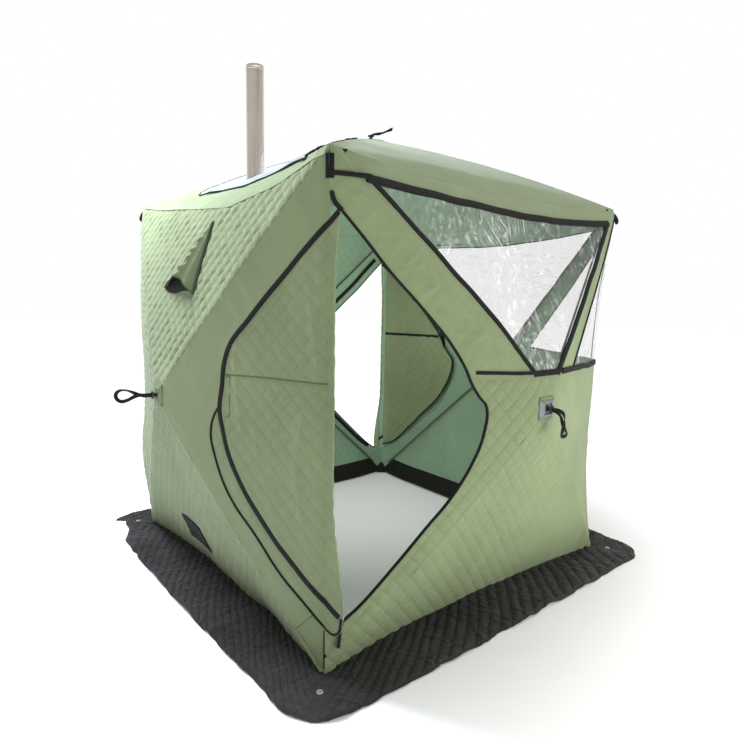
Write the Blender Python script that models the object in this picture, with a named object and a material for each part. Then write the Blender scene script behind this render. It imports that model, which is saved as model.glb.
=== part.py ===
"""Cube-shaped pop-up sauna tent: five faces (four walls and the roof), each held
out by a hub with four fibreglass poles and covered by four triangular fabric
panels. Metres, +Z up, origin on the ground under the middle of the tent.

Each face is built in its own frame: x runs along the face to the right as seen
from outside, y runs up the face (towards +Y on the roof) and z points outwards.
"""
import math

import bmesh
import bpy
from mathutils import Matrix, Vector

for old in list(bpy.data.objects):
    bpy.data.objects.remove(old, do_unlink=True)

# ---------------------------------------------------------------- dimensions
SIDE = 1.80  # between the corner seams, on the ground and at the eaves
BASE_Z = 0.010  # height of the seam along the foot of the walls
EAVE_Z = 1.840  # height of the seam between walls and roof
WALL_BULGE = 0.265  # how far a wall hub stands out from its wall's plane
ROOF_RISE = 0.360  # how far the roof hub stands above the eaves

FABRIC_T = 0.004  # three-layer quilted fabric
WALL_LAP = 0.010  # top and bottom panels lie this far outside the side ones
ROOF_LAP = 0.017  # the same on the roof, whose panels are steeper
EDGE_GAP = 0.006  # panel to its seam
CORNER_GAP = 0.045  # panel to a corner, along its seam
RIDGE_TRIM = 0.002  # panel to the ridge it ends at
TIP_LENGTH = 0.878  # a panel is cut off here, short of the hub's neck

PIPING_R = 0.0035
SOCKET = 0.036  # edge of a corner socket
SOCKET_OUT = 0.003  # how far it stands outside its corner

PIN_RADIUS = 0.030  # hub centre to a pole's pin
PIN_DEPTH = 0.027  # pins below the apex of the fabric
PIN_R = 0.0025
POLE_R = 0.005
EYE_R = 0.0065
EYE_HOLE_R = 0.0029
EYE_WIDTH = 0.0116
WALL_TIP_SHORT = 0.110  # a wall pole stops this short of its corner
ROOF_TIP_SHORT = 0.130

DOOR_TOP_Z = 1.640
DOOR_FOOT_Z = 0.195
DOOR_REACH = 0.612  # the doorway's farthest point from the corner seam
DOOR_TIP_Z = 0.925
ZIP_GAP = 0.005
FLAP_STEP = 0.006  # the swinging half closes this far outside the doorway
FOLD_ANGLE = math.radians(4.0)  # left between the folded halves

SKIRT_IN = 0.9045
SKIRT_OUT = 1.125
SKIRT_T = 0.005
SKIRT_CORNER_R = 0.10
EYELET_AT = 0.965
EYELET_HOLE_R = 0.0063

PIPE_X, PIPE_Y = -0.758, -0.136
PIPE_R = 0.038
PIPE_WALL = 0.001
PIPE_FOOT_Z, PIPE_TOP_Z = 1.800, 2.332

GAP = 0.0003

HALF = SIDE / 2
HUB_Z = (BASE_Z + EAVE_Z) / 2
HALF_H = (EAVE_Z - BASE_Z) / 2


# ----------------------------------------------------------------- materials
def srgb(r, g, b):
    return tuple(
        (c / 255 / 12.92 if c / 255 <= 0.04045 else ((c / 255 + 0.055) / 1.055) ** 2.4)
        for c in (r, g, b)
    ) + (1.0,)


def material(name, rgb, rough, metal=0.0):
    m = bpy.data.materials.new(name)
    m.use_nodes = True
    p = next(n for n in m.node_tree.nodes if n.type == "BSDF_PRINCIPLED")
    p.inputs["Base Color"].default_value = srgb(*rgb)
    p.inputs["Roughness"].default_value = rough
    p.inputs["Metallic"].default_value = metal
    m.diffuse_color = srgb(*rgb)
    m.roughness = rough
    m.metallic = metal
    return m


LOOKS = {
    "green": ((146, 163, 126), 0.75, 0.0),
    "film": ((226, 232, 232), 0.12, 0.0),
    "black_fabric": ((56, 56, 57), 0.85, 0.0),
    "hub": ((38, 38, 40), 0.5, 0.0),
    "pole": ((60, 62, 66), 0.4, 0.0),
    "steel": ((190, 184, 176), 0.3, 1.0),
    "fireproof": ((172, 176, 180), 0.8, 0.0),
    "collar": ((128, 130, 132), 0.55, 0.0),
    "piping": ((30, 29, 28), 0.8, 0.0),
}


def place(name, mesh, look, matrix=None, parent=None):
    """One named piece with a material of its own."""
    ob = bpy.data.objects.new(name, mesh)
    bpy.context.scene.collection.objects.link(ob)
    if not mesh.materials:
        mesh.materials.append(None)
    for slot in ob.material_slots:
        slot.link = "OBJECT"
        slot.material = material(name + "_look", *LOOKS[look])
    if matrix is not None:
        ob.matrix_world = matrix
    if parent is not None:
        ob.parent = parent
        ob.matrix_parent_inverse = parent.matrix_world.inverted()
    return ob


def cutter(name, mesh, matrix=None):
    ob = bpy.data.objects.new(name, mesh)
    bpy.context.scene.collection.objects.link(ob)
    if matrix is not None:
        ob.matrix_world = matrix
    ob.hide_render = True
    ob.display_type = "WIRE"
    return ob


def boolean(ob, other, operation):
    m = ob.modifiers.new(operation.title(), "BOOLEAN")
    m.operation = operation
    m.solver = "EXACT"
    m.object = other
    return m


def joined(ob, others):
    """The mesh that an object's modifiers give; the objects used are removed."""
    bpy.context.view_layer.update()
    mesh = bpy.data.meshes.new_from_object(
        ob.evaluated_get(bpy.context.evaluated_depsgraph_get())
    )
    for o in (ob, *others):
        bpy.data.objects.remove(o, do_unlink=True)
    mesh.shade_smooth()
    mesh.set_sharp_from_angle(angle=math.radians(35))
    return mesh


# ------------------------------------------------------------------ builders
def to_mesh(bm, name, smooth=None):
    bmesh.ops.recalc_face_normals(bm, faces=bm.faces[:])
    mesh = bpy.data.meshes.new(name)
    bm.to_mesh(mesh)
    bm.free()
    if smooth:
        mesh.shade_smooth()
        mesh.set_sharp_from_angle(angle=math.radians(smooth))
    return mesh


def prism(bm, outline, z0, z1, matrix=Matrix.Identity(4)):
    """A closed plate: the outline at z0 pushed to z1."""
    low = [bm.verts.new(matrix @ Vector((x, y, z0))) for x, y in outline]
    face = bm.faces.new(low)
    out = bmesh.ops.extrude_face_region(bm, geom=[face])
    moved = [v for v in out["geom"] if isinstance(v, bmesh.types.BMVert)]
    bmesh.ops.translate(
        bm, verts=moved, vec=matrix.to_3x3() @ Vector((0, 0, z1 - z0))
    )


def ring_prism(bm, outer, inner, z0, z1, matrix=Matrix.Identity(4)):
    """A closed frame between two outlines with as many points each."""
    loops = [
        [bm.verts.new(matrix @ Vector((x, y, z))) for x, y in line]
        for line, z in ((outer, z0), (inner, z0), (inner, z1), (outer, z1))
    ]
    n = len(outer)
    for a, b in zip(loops, loops[1:] + loops[:1]):
        for i in range(n):
            j = (i + 1) % n
            bm.faces.new((a[i], a[j], b[j], b[i]))


def lathe(bm, profile, sides, matrix=Matrix.Identity(4)):
    """Turns a closed (radius, height) profile about z. Points on the axis close it."""
    rings = []
    for r, z in profile:
        if r < 1e-9:
            rings.append([bm.verts.new(matrix @ Vector((0, 0, z)))])
        else:
            rings.append(
                [
                    bm.verts.new(
                        matrix
                        @ Vector(
                            (
                                r * math.cos(2 * math.pi * i / sides),
                                r * math.sin(2 * math.pi * i / sides),
                                z,
                            )
                        )
                    )
                    for i in range(sides)
                ]
            )
    closed = rings[0] if len(rings[0]) > 1 else None
    pairs = list(zip(rings, rings[1:]))
    if closed:
        pairs.append((rings[-1], rings[0]))
    for a, b in pairs:
        for i in range(sides):
            j = (i + 1) % sides
            if len(a) == 1 and len(b) == 1:
                continue
            if len(a) == 1:
                bm.faces.new((a[0], b[i], b[j]))
            elif len(b) == 1:
                bm.faces.new((a[i], a[j], b[0]))
            else:
                bm.faces.new((a[i], a[j], b[j], b[i]))


def circle(r, n, x=0.0, y=0.0, phase=0.0):
    return [
        (
            x + r * math.cos(phase + 2 * math.pi * i / n),
            y + r * math.sin(phase + 2 * math.pi * i / n),
        )
        for i in range(n)
    ]


def bezier(a, b, c, n):
    """Points of the quadratic curve a-b-c, without a."""
    out = []
    for i in range(1, n + 1):
        t = i / n
        out.append(
            tuple(
                (1 - t) ** 2 * p + 2 * t * (1 - t) * q + t * t * r
                for p, q, r in zip(a, b, c)
            )
        )
    return out


def axes(origin, x, y):
    """A frame with its x and y along the given directions."""
    x = Vector(x).normalized()
    z = x.cross(Vector(y)).normalized()
    y = z.cross(x)
    m = Matrix((x, y, z)).transposed().to_4x4()
    m.translation = Vector(origin)
    return m


# --------------------------------------------------------------------- faces
class Face:
    def __init__(self, name, centre, normal, up, half_x, half_y, bulge, lap, tip):
        self.name = name
        self.n = Vector(normal)
        self.v = Vector(up)
        self.u = self.v.cross(self.n)
        self.o = Vector(centre)
        self.hx, self.hy, self.bulge, self.lap = half_x, half_y, bulge, lap
        self.tip_short = tip
        self.hub = axes(self.o + self.n * bulge, self.u, self.v)

    def point(self, x, y, z=0.0):
        return self.o + self.u * x + self.v * y + self.n * z

    def panel(self, side):
        """Frame at the middle of a panel's seam: x along the seam, y towards the
        hub in the panel's plane, z outwards. Also half the seam's length and the
        distance from seam to apex."""
        ends = {
            "top": ((1, 1), (-1, 1)),
            "bottom": ((-1, -1), (1, -1)),
            "xmin": ((-1, 1), (-1, -1)),
            "xmax": ((1, -1), (1, 1)),
        }[side]
        a, b = (self.point(i * self.hx, j * self.hy) for i, j in ends)
        mid = (a + b) / 2
        apex = self.point(0, 0, self.bulge)
        return axes(mid, b - a, apex - mid), (b - a).length / 2, (apex - mid).length


WALLS = {
    name: Face(
        name,
        Vector(normal) * HALF + Vector((0, 0, HUB_Z)),
        normal,
        (0, 0, 1),
        HALF,
        HALF_H,
        WALL_BULGE,
        WALL_LAP,
        WALL_TIP_SHORT,
    )
    for name, normal in (
        ("left", (-1, 0, 0)),
        ("right", (0, -1, 0)),
        ("rear_right", (1, 0, 0)),
        ("rear_left", (0, 1, 0)),
    )
}
ROOF = Face(
    "roof",
    (0, 0, EAVE_Z),
    (0, 0, 1),
    (0, 1, 0),
    HALF,
    HALF,
    ROOF_RISE,
    ROOF_LAP,
    ROOF_TIP_SHORT,
)


def ridge_x(half, length, y):
    """Half-width of a full triangle at distance y from its seam."""
    return half * (1 - y / length)


def panel_outline(half, length, doorway=None):
    """A triangle trimmed at its seam, ridges, corners and tip, anticlockwise.
    A doorway is a list of (x, y) from its low-x end to its high-x end that
    replaces the middle of the seam's side."""
    side = RIDGE_TRIM * math.hypot(1, half / length)
    end = half - CORNER_GAP
    y_end = (half - side - end) * length / half
    tip = ridge_x(half, length, TIP_LENGTH) - side
    line = [(-end, EDGE_GAP)]
    if doorway:
        line += doorway
    line += [(end, EDGE_GAP), (end, y_end), (tip, TIP_LENGTH)]
    line += [(-tip, TIP_LENGTH), (-end, y_end)]
    return line


def doorway_curve(inset=0.0):
    """The doorway's edge as (height, distance from the corner seam) in the plane
    of a side panel, from top to foot. Inset makes the flap that fills it."""
    slope = math.hypot(HALF, WALL_BULGE) / HALF
    top, foot = (0.0, DOOR_TOP_Z), (0.0, DOOR_FOOT_Z)
    shoulder, hip = (0.430, 1.225), (0.440, 0.574)
    tip = (DOOR_REACH, DOOR_TIP_Z)
    line = [top, shoulder]
    line += bezier(shoulder, (0.600, 1.060), tip, 5)
    line += bezier(tip, (0.610, 0.760), hip, 5)
    line += bezier(hip, (0.220, 0.320), foot, 4)
    line = [(z, d * slope) for d, z in line]
    if inset:
        moved = []
        for i, (z, d) in enumerate(line):
            a = line[max(i - 1, 0)]
            b = line[min(i + 1, len(line) - 1)]
            t = Vector((b[0] - a[0], b[1] - a[1])).normalized()
            moved.append((z - t.y * inset, d + t.x * inset))
        line = moved
    return line


def at_seam(line):
    """The same curve, started and ended at the trimmed seam side."""
    (z0, d0), (z1, d1) = line[0], line[1]
    start = (z0 + (EDGE_GAP - d0) * (z1 - z0) / (d1 - d0), EDGE_GAP)
    (z0, d0), (z1, d1) = line[-1], line[-2]
    end = (z0 + (EDGE_GAP - d0) * (z1 - z0) / (d1 - d0), EDGE_GAP)
    return [start] + line[1:-1] + [end]


def panel_object(face, side, lap, outline=None, thickness=FABRIC_T):
    frame, half, length = face.panel(side)
    bm = bmesh.new()
    prism(
        bm,
        outline or panel_outline(half, length),
        lap - thickness / 2,
        lap + thickness / 2,
    )
    return to_mesh(bm, "plate"), frame


SIDE_NAMES = {
    "left": {"xmin": "corner", "xmax": "door"},
    "right": {"xmin": "door", "xmax": "corner"},
    "rear_right": {"xmin": "corner", "xmax": "door"},
    "rear_left": {"xmin": "door", "xmax": "corner"},
}

# The main windows fill most of the top panels of two walls.
WINDOW = [(-0.745, 0.085), (0.745, 0.085), (0.078, 0.790), (-0.078, 0.790)]
WINDOW_CLEAR = 0.001
FILM_T = 0.0015

panels = {}
for face in list(WALLS.values()) + [ROOF]:
    for side in ("top", "bottom", "xmin", "xmax"):
        lapped = side in ("top", "bottom")
        lap = face.lap if lapped else 0.0
        label = (
            SIDE_NAMES[face.name].get(side, side)
            if face.name != "roof"
            else {"top": "rear_left", "bottom": "right", "xmin": "left", "xmax": "rear_right"}[side]
        )
        frame, half, length = face.panel(side)
        outline = None
        if label == "door":
            # Height grows with the seam's x on one side of a wall and falls on the other.
            up = 1 if frame.col[0].z > 0 else -1
            curve = [
                ((z - HUB_Z) * up, d) for z, d in at_seam(doorway_curve())
            ]
            if curve[0][0] > curve[-1][0]:
                curve.reverse()
            outline = panel_outline(half, length, curve)
        mesh, frame = panel_object(face, side, lap, outline)
        ob = place(f"panel_{face.name}_{label}", mesh, "green", frame)
        panels[face.name, label] = ob, frame, half, length

for wall in ("right", "rear_right"):
    ob, frame, half, length = panels[wall, "top"]
    bm = bmesh.new()
    prism(bm, WINDOW, WALL_LAP - 0.02, WALL_LAP + 0.02)
    boolean(ob, cutter(f"cut_window_{wall}", to_mesh(bm, "window"), frame), "DIFFERENCE")
    c = Vector((0, sum(y for _, y in WINDOW) / 4))
    film = [
        (x - math.copysign(WINDOW_CLEAR * 2, x), y - math.copysign(WINDOW_CLEAR, y - c.y))
        for x, y in WINDOW
    ]
    bm = bmesh.new()
    prism(bm, film, WALL_LAP - FILM_T / 2, WALL_LAP + FILM_T / 2)
    place(f"window_film_{wall}", to_mesh(bm, "film"), "film", frame, ob)

# --------------------------------------------------------------------- doors
# Each door is one flap folded at the corner seam: one half stays zipped in its
# own wall's side panel, the other half swings round the seam.
for door, fixed_wall, swing_wall in (
    ("front", "left", "right"),
    ("rear", "rear_right", "rear_left"),
):
    carrier, frame, half, length = panels[fixed_wall, "door"]
    up = 1 if frame.col[0].z > 0 else -1
    curve = [((z - HUB_Z) * up, d) for z, d in at_seam(doorway_curve(ZIP_GAP))]
    bm = bmesh.new()
    prism(bm, curve, -FABRIC_T / 2, FABRIC_T / 2)
    place(f"door_{door}_fixed_half", to_mesh(bm, "half"), "green", frame, carrier)

    _, closed, _, _ = panels[swing_wall, "door"]
    up = 1 if closed.col[0].z > 0 else -1
    curve = [((z - HUB_Z) * up, d) for z, d in at_seam(doorway_curve(ZIP_GAP))]
    bm = bmesh.new()
    prism(bm, curve, FLAP_STEP - FABRIC_T / 2, FLAP_STEP + FABRIC_T / 2)
    inwards = closed.col[1].to_3d()
    along = frame.col[1].to_3d()
    between = along.angle(inwards) - FOLD_ANGLE
    turn = inwards.cross(along).normalized()
    pivot = closed.translation
    folded = (
        Matrix.Translation(pivot)
        @ Matrix.Rotation(between, 4, turn)
        @ Matrix.Translation(-pivot)
        @ closed
    )
    place(f"door_{door}_swing_half", to_mesh(bm, "half"), "green", folded, carrier)

# ---------------------------------------------------------------------- hubs
def strap_loop(bm, side_dir, bend, straight, gap=0.009, tape=0.0022, width=0.020):
    """A webbing loop that leaves the cap, bends towards side_dir and runs on."""
    side_dir = Vector((side_dir[0], side_dir[1], 0)).normalized()
    m = Matrix((side_dir, Vector((0, 0, 1)), side_dir.cross(Vector((0, 0, 1))))).transposed().to_4x4()
    radius, start = 0.030, 0.0190
    path = [((0.0, start), (0.0, 1.0)), ((0.0, start + 0.012), (0.0, 1.0))]
    steps = 5
    for i in range(1, steps + 1):
        a = math.radians(bend) * i / steps
        path.append(
            (
                (radius * (1 - math.cos(a)), start + 0.012 + radius * math.sin(a)),
                (math.sin(a), math.cos(a)),
            )
        )
    (x, y), (dx, dy) = path[-1]
    for i in range(1, 4):
        path.append(((x + dx * straight * i / 3, y + dy * straight * i / 3), (dx, dy)))

    def outline(off):
        left = [(x - dy * off, y + dx * off) for (x, y), (dx, dy) in path]
        right = [(x + dy * off, y - dx * off) for (x, y), (dx, dy) in path]
        (ex, ey), (ux, uy) = path[-1]
        end = []
        for i in range(1, 4):
            a = math.pi / 2 - math.pi * i / 4
            end.append(
                (
                    ex + off * (math.cos(a) * ux - math.sin(a) * uy),
                    ey + off * (math.cos(a) * uy + math.sin(a) * ux),
                )
            )
        return left + end + right[::-1]

    inner = outline(gap)
    outer = outline(gap + tape)
    # The loop's foot is sunk in the cap.
    inner[0] = (inner[0][0], inner[0][1] + tape)
    inner[-1] = (inner[-1][0], inner[-1][1] + tape)
    ring_prism(bm, outer, inner, -width / 2, width / 2, m)


def hub_mesh(face, strap):
    angle = math.atan2(face.hy, face.hx)
    bm = bmesh.new()
    lathe(
        bm,
        [
            (0.0, -0.036),
            (0.0405, -0.036),
            (0.042, -0.0345),
            (0.042, -0.020),
            (0.008, -0.020),
            (0.008, 0.0150),
            (0.0175, 0.0155),
            (0.0175, 0.0205),
            (0.0, 0.0205),
        ],
        24,
    )
    core = bpy.data.objects.new("core", to_mesh(bm, "core"))
    bpy.context.scene.collection.objects.link(core)
    bm = bmesh.new()
    bars = bmesh.new()
    for k in range(4):
        a = (angle, math.pi - angle, math.pi + angle, -angle)[k]
        m = Matrix.Rotation(a, 4, "Z")
        prism(
            bm,
            [(0.0225, -0.0062), (0.060, -0.0062), (0.060, 0.0062), (0.0225, 0.0062)],
            -0.050,
            -0.013,
            m,
        )
        pin = m @ Matrix.Translation((PIN_RADIUS, 0, -PIN_DEPTH)) @ Matrix.Rotation(
            math.pi / 2, 4, "X"
        )
        lathe(
            bars,
            [(0, -0.0095), (PIN_R, -0.0095), (PIN_R, 0.0095), (0, 0.0095)],
            10,
            pin,
        )
    slots = cutter("slots", to_mesh(bm, "slots"))
    pins = cutter("pins", to_mesh(bars, "pins"))
    bm = bmesh.new()
    strap_loop(bm, *strap)
    loop = cutter("loop", to_mesh(bm, "loop"))
    boolean(core, slots, "DIFFERENCE")
    boolean(core, pins, "UNION")
    boolean(core, loop, "UNION")
    return joined(core, (slots, pins, loop))


# Straps: direction in the face's frame, bend from the face's normal, length.
SIDE_STRAP = ((-1.0, 0.0), 42, 0.150)
DROP_STRAP = ((0.0, -1.0), 80, 0.100)
ROOF_STRAP = ((1.0, 0.0), 72, 0.120)
hubs = {}
for face in list(WALLS.values()) + [ROOF]:
    strap = (
        ROOF_STRAP
        if face is ROOF
        else SIDE_STRAP
        if face.name in ("left", "rear_right")
        else DROP_STRAP
    )
    hubs[face.name] = place(
        f"hub_{face.name}", hub_mesh(face, strap), "hub", face.hub
    )


# --------------------------------------------------------------------- poles
def pole_mesh(length):
    """A rod along x from its pin at the origin; the pin's axis is y."""
    bm = bmesh.new()
    along = Matrix.Rotation(math.pi / 2, 4, "Y")
    lathe(
        bm,
        [
            (0, 0.008),
            (0.0058, 0.008),
            (0.0058, 0.045),
            (POLE_R, 0.046),
            (POLE_R, length - 0.006),
            (0.0030, length),
            (0, length),
        ],
        10,
        along,
    )
    rod = bpy.data.objects.new("rod", to_mesh(bm, "rod"))
    bpy.context.scene.collection.objects.link(rod)
    n = 14
    outer = [
        (EYE_R * math.cos(2 * math.pi * i / n), EYE_R * math.sin(2 * math.pi * i / n))
        for i in range(n)
    ]
    outer = [
        (0.016, 0.0048 if y >= 0 else -0.0048) if x > 0.0058 and abs(y) > 0.0015 else (x, y)
        for x, y in outer
    ]
    outer = [(0.016, 0.0) if x > 0.0058 and abs(y) <= 0.0015 else (x, y) for x, y in outer]
    inner = circle(EYE_HOLE_R, n)
    bm = bmesh.new()
    stand = Matrix.Rotation(math.pi / 2, 4, "X")
    ring_prism(bm, outer, inner, -EYE_WIDTH / 2, EYE_WIDTH / 2, stand)
    bmesh.ops.remove_doubles(bm, verts=bm.verts[:], dist=1e-6)
    eye = cutter("eye", to_mesh(bm, "eye"))
    boolean(rod, eye, "UNION")
    return joined(rod, (eye,))


CORNERS = {
    "upper_right": (1, 1),
    "upper_left": (-1, 1),
    "lower_left": (-1, -1),
    "lower_right": (1, -1),
}
ROOF_CORNERS = {"rear": (1, 1), "far_left": (-1, 1), "front": (-1, -1), "far_right": (1, -1)}
pole_meshes = {}
for face in list(WALLS.values()) + [ROOF]:
    diagonal = math.hypot(face.hx, face.hy)
    run = diagonal - face.tip_short - PIN_RADIUS
    slope = face.bulge / diagonal
    length = run * math.hypot(1, slope)
    key = round(length, 5)
    if key not in pole_meshes:
        pole_meshes[key] = pole_mesh(length)
    for label, (i, j) in (ROOF_CORNERS if face is ROOF else CORNERS).items():
        out = (face.u * face.hx * i + face.v * face.hy * j).normalized()
        pin = face.o + face.n * (face.bulge - PIN_DEPTH) + out * PIN_RADIUS
        along = (out - face.n * slope).normalized()
        frame = axes(pin, along, face.n.cross(out))
        place(
            f"pole_{face.name}_{label}",
            pole_meshes[key],
            "pole",
            frame,
            hubs[face.name],
        )

# ------------------------------------------------- seams, sockets and loops
SOCKET_IN = SOCKET - SOCKET_OUT  # how far a socket reaches from its corner


def rod_between(bm, a, b, r, sides=6):
    a, b = Vector(a), Vector(b)
    d = b - a
    m = Matrix.Translation(a) @ d.to_track_quat("Z", "Y").to_matrix().to_4x4()
    lathe(bm, [(0, 0), (r, 0), (r, d.length), (0, d.length)], sides, m)


# The piping runs from socket to socket and ends inside them.
bm = bmesh.new()
reach = HALF - SOCKET_IN + 0.012
for z in (BASE_Z, EAVE_Z):
    for s in (-1, 1):
        rod_between(bm, (s * HALF, -reach, z), (s * HALF, reach, z), PIPING_R)
        rod_between(bm, (-reach, s * HALF, z), (reach, s * HALF, z), PIPING_R)
low, high = SOCKET - 0.012, EAVE_Z - SOCKET_IN + 0.012
for x, y in ((-HALF, HALF), (HALF, -HALF)):
    rod_between(bm, (x, y, low), (x, y, high), PIPING_R)
for s in (-1, 1):
    rod_between(bm, (s * HALF, s * HALF, low), (s * HALF, s * HALF, DOOR_FOOT_Z - 0.006), PIPING_R)
    rod_between(bm, (s * HALF, s * HALF, DOOR_TOP_Z + 0.006), (s * HALF, s * HALF, high), PIPING_R)
seams = place("seam_piping_frame", to_mesh(bm, "piping", 50), "piping")

bm = bmesh.new()
for i in (-1, 1):
    for j in (-1, 1):
        for z in (SOCKET / 2 + GAP, EAVE_Z - SOCKET_IN + SOCKET / 2):
            x = i * (HALF + SOCKET_OUT - SOCKET / 2)
            y = j * (HALF + SOCKET_OUT - SOCKET / 2)
            bmesh.ops.create_cube(
                bm, size=SOCKET, matrix=Matrix.Translation((x, y, z))
            )
bmesh.ops.bevel(
    bm, geom=bm.edges[:], offset=0.004, segments=1, affect="EDGES", clamp_overlap=True
)
boolean(seams, cutter("join_sockets", to_mesh(bm, "sockets")), "UNION")

bm = bmesh.new()
for i in (-1, 1):
    for j in (-1, 1):
        out = Vector((i, j, -0.6)).normalized()
        flat = Vector((-j, i, 0)).normalized() * (i * j)
        across = flat.cross(out)
        m = Matrix((out, across, out.cross(across))).transposed().to_4x4()
        m.translation = Vector(
            (i * HALF, j * HALF, EAVE_Z - 0.014)
        ) + out * 0.004
        long, wide, tape = 0.036, 0.0055, 0.0018

        def stadium(r):
            pts = [(r * math.cos(a), r * math.sin(a)) for a in
                   (math.pi / 2 + math.pi * k / 4 for k in range(5))]
            pts += [(long + r * math.cos(a), r * math.sin(a)) for a in
                    (-math.pi / 2 + math.pi * k / 4 for k in range(5))]
            return pts

        ring_prism(bm, stadium(wide), stadium(wide - tape), -0.009, 0.009, m)
boolean(seams, cutter("join_loops", to_mesh(bm, "loops")), "UNION")

# --------------------------------------------------------------------- skirt
# Four strips, mitred at the corners, with a peg hole on each mitre.
bm = bmesh.new()
for i in (-1, 1):
    for j in (-1, 1):
        prism(bm, circle(EYELET_HOLE_R, 12, i * EYELET_AT, j * EYELET_AT), -0.01, 0.02)
holes = cutter("cut_peg_holes", to_mesh(bm, "holes"))
c = SKIRT_OUT - SKIRT_CORNER_R
arc = [
    (
        c + SKIRT_CORNER_R * math.sin(math.pi / 4 * (1 - i / 3)),
        -c - SKIRT_CORNER_R * math.cos(math.pi / 4 * (1 - i / 3)),
    )
    for i in range(4)
]
half_strip = [(SKIRT_IN - GAP, -SKIRT_IN), (arc[0][0] - GAP, arc[0][1])] + arc[1:]
strip = half_strip[::-1] + [(-x, y) for x, y in half_strip]
for k, name in enumerate(("right", "rear_right", "rear_left", "left")):
    bm = bmesh.new()
    prism(bm, strip[::-1], 0.0, SKIRT_T)
    ob = place(
        f"snow_skirt_{name}",
        to_mesh(bm, "strip"),
        "black_fabric",
        Matrix.Rotation(math.pi / 2 * k, 4, "Z"),
    )
    boolean(ob, holes, "DIFFERENCE")

# --------------------------------------------------- flue panel, collar, pipe
roof_panel, frame, half, length = panels["roof", "left"]
theta = math.atan2(ROOF_RISE, HALF)
flue_s = (PIPE_X + HALF) / math.cos(theta)  # distance from the eave up the slope
flue_x = -PIPE_Y  # the seam's x runs towards -Y here
bm = bmesh.new()
prism(bm, circle(0.062, 24, flue_x, flue_s), -0.03, 0.03)
boolean(roof_panel, cutter("cut_flue", to_mesh(bm, "flue"), frame), "DIFFERENCE")

upright = Matrix.Translation((PIPE_X, PIPE_Y, 0))


def upright_cutter(name, r, z0, z1, sides=32):
    bm = bmesh.new()
    lathe(bm, [(0, z0), (r, z0), (r, z1), (0, z1)], sides, upright)
    return cutter(name, to_mesh(bm, name))


FIRE = [(-0.10, 0.030), (0.70, 0.030), (0.73, 0.120), (0.29, 0.620), (-0.29, 0.620), (-0.62, 0.210)]
bm = bmesh.new()
prism(bm, FIRE, FABRIC_T / 2 + GAP, FABRIC_T / 2 + GAP + 0.002)
fire = place("fireproof_panel", to_mesh(bm, "fire"), "fireproof", frame, roof_panel)
boolean(fire, upright_cutter("cut_fire", 0.041, 1.7, 2.1), "DIFFERENCE")

top = FABRIC_T / 2 + GAP * 2 + 0.002
bm = bmesh.new()
prism(bm, circle(0.066, 32, flue_x, flue_s), top, top + 0.0025)
collar = place("flue_collar", to_mesh(bm, "collar", 35), "collar", frame, roof_panel)
bm = bmesh.new()
flue_z = EAVE_Z + flue_s * math.sin(theta)
lathe(bm, [(0, flue_z - 0.05), (0.0445, flue_z - 0.05), (0.0430, flue_z + 0.062), (0.0415, flue_z + 0.065), (0, flue_z + 0.065)], 32, upright)
sleeve = bpy.data.objects.new("sleeve", to_mesh(bm, "sleeve"))
bpy.context.scene.collection.objects.link(sleeve)
sleeve.hide_render = True
sleeve.display_type = "WIRE"
bm = bmesh.new()
prism(bm, [(flue_x - 0.3, flue_s - 0.3), (flue_x + 0.3, flue_s - 0.3), (flue_x + 0.3, flue_s + 0.3), (flue_x - 0.3, flue_s + 0.3)], -0.3, top + 0.001)
boolean(sleeve, cutter("cut_sleeve_foot", to_mesh(bm, "below"), frame), "DIFFERENCE")
boolean(collar, sleeve, "UNION")
boolean(collar, upright_cutter("cut_collar", PIPE_R + 0.0005, 1.7, 2.2), "DIFFERENCE")

bm = bmesh.new()
lathe(
    bm,
    [
        (PIPE_R - PIPE_WALL, PIPE_FOOT_Z),
        (PIPE_R, PIPE_FOOT_Z),
        (PIPE_R, PIPE_TOP_Z - 0.032),
        (PIPE_R + 0.0012, PIPE_TOP_Z - 0.030),
        (PIPE_R + 0.0012, PIPE_TOP_Z - 0.026),
        (PIPE_R, PIPE_TOP_Z - 0.024),
        (PIPE_R, PIPE_TOP_Z),
        (PIPE_R - PIPE_WALL, PIPE_TOP_Z),
    ],
    32,
    upright,
)
pipe_mesh = to_mesh(bm, "pipe", 35)
pipe_mesh.transform(upright.inverted())
place("stovepipe", pipe_mesh, "steel", upright, roof_panel)

# ----------------------------------------------------------------- vent hood
carrier, frame, half, length = panels["left", "top"]
# Corners on the panel (seam x, distance from the seam) and the raised lip.
HOOD_Y_SIGN = 1 if frame.col[0].y > 0 else -1
hood_top = (-0.150 * HOOD_Y_SIGN, 0.175)
hood_right = (-0.160 * HOOD_Y_SIGN, 0.490)
hood_left = (0.175 * HOOD_Y_SIGN, 0.450)
hood_lip = (0.060 * HOOD_Y_SIGN, 0.500, 0.110)
base = WALL_LAP + FABRIC_T / 2 + GAP


def tetra(bm, shift_y, lift, spread):
    pts = []
    c = [(hood_top[i] + hood_right[i] + hood_left[i]) / 3 for i in range(2)]
    for x, y in (hood_top, hood_right, hood_left):
        pts.append((c[0] + (x - c[0]) * spread, c[1] + (y - c[1]) * spread + shift_y, base + lift))
    pts.append((c[0] + (hood_lip[0] - c[0]) * spread, c[1] + (hood_lip[1] - c[1]) * spread + shift_y, base + lift + hood_lip[2] * spread))
    v = [bm.verts.new(p) for p in pts]
    for f in ((0, 1, 2), (0, 1, 3), (0, 2, 3), (1, 2, 3)):
        bm.faces.new([v[i] for i in f])


bm = bmesh.new()
tetra(bm, 0.0, 0.0, 1.0)
hood = place("vent_hood", to_mesh(bm, "hood"), "green", frame, carrier)
bm = bmesh.new()
tetra(bm, 0.030, -0.012, 1.0)
boolean(hood, cutter("cut_hood", to_mesh(bm, "inside"), frame), "DIFFERENCE")
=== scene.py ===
import math

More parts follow.
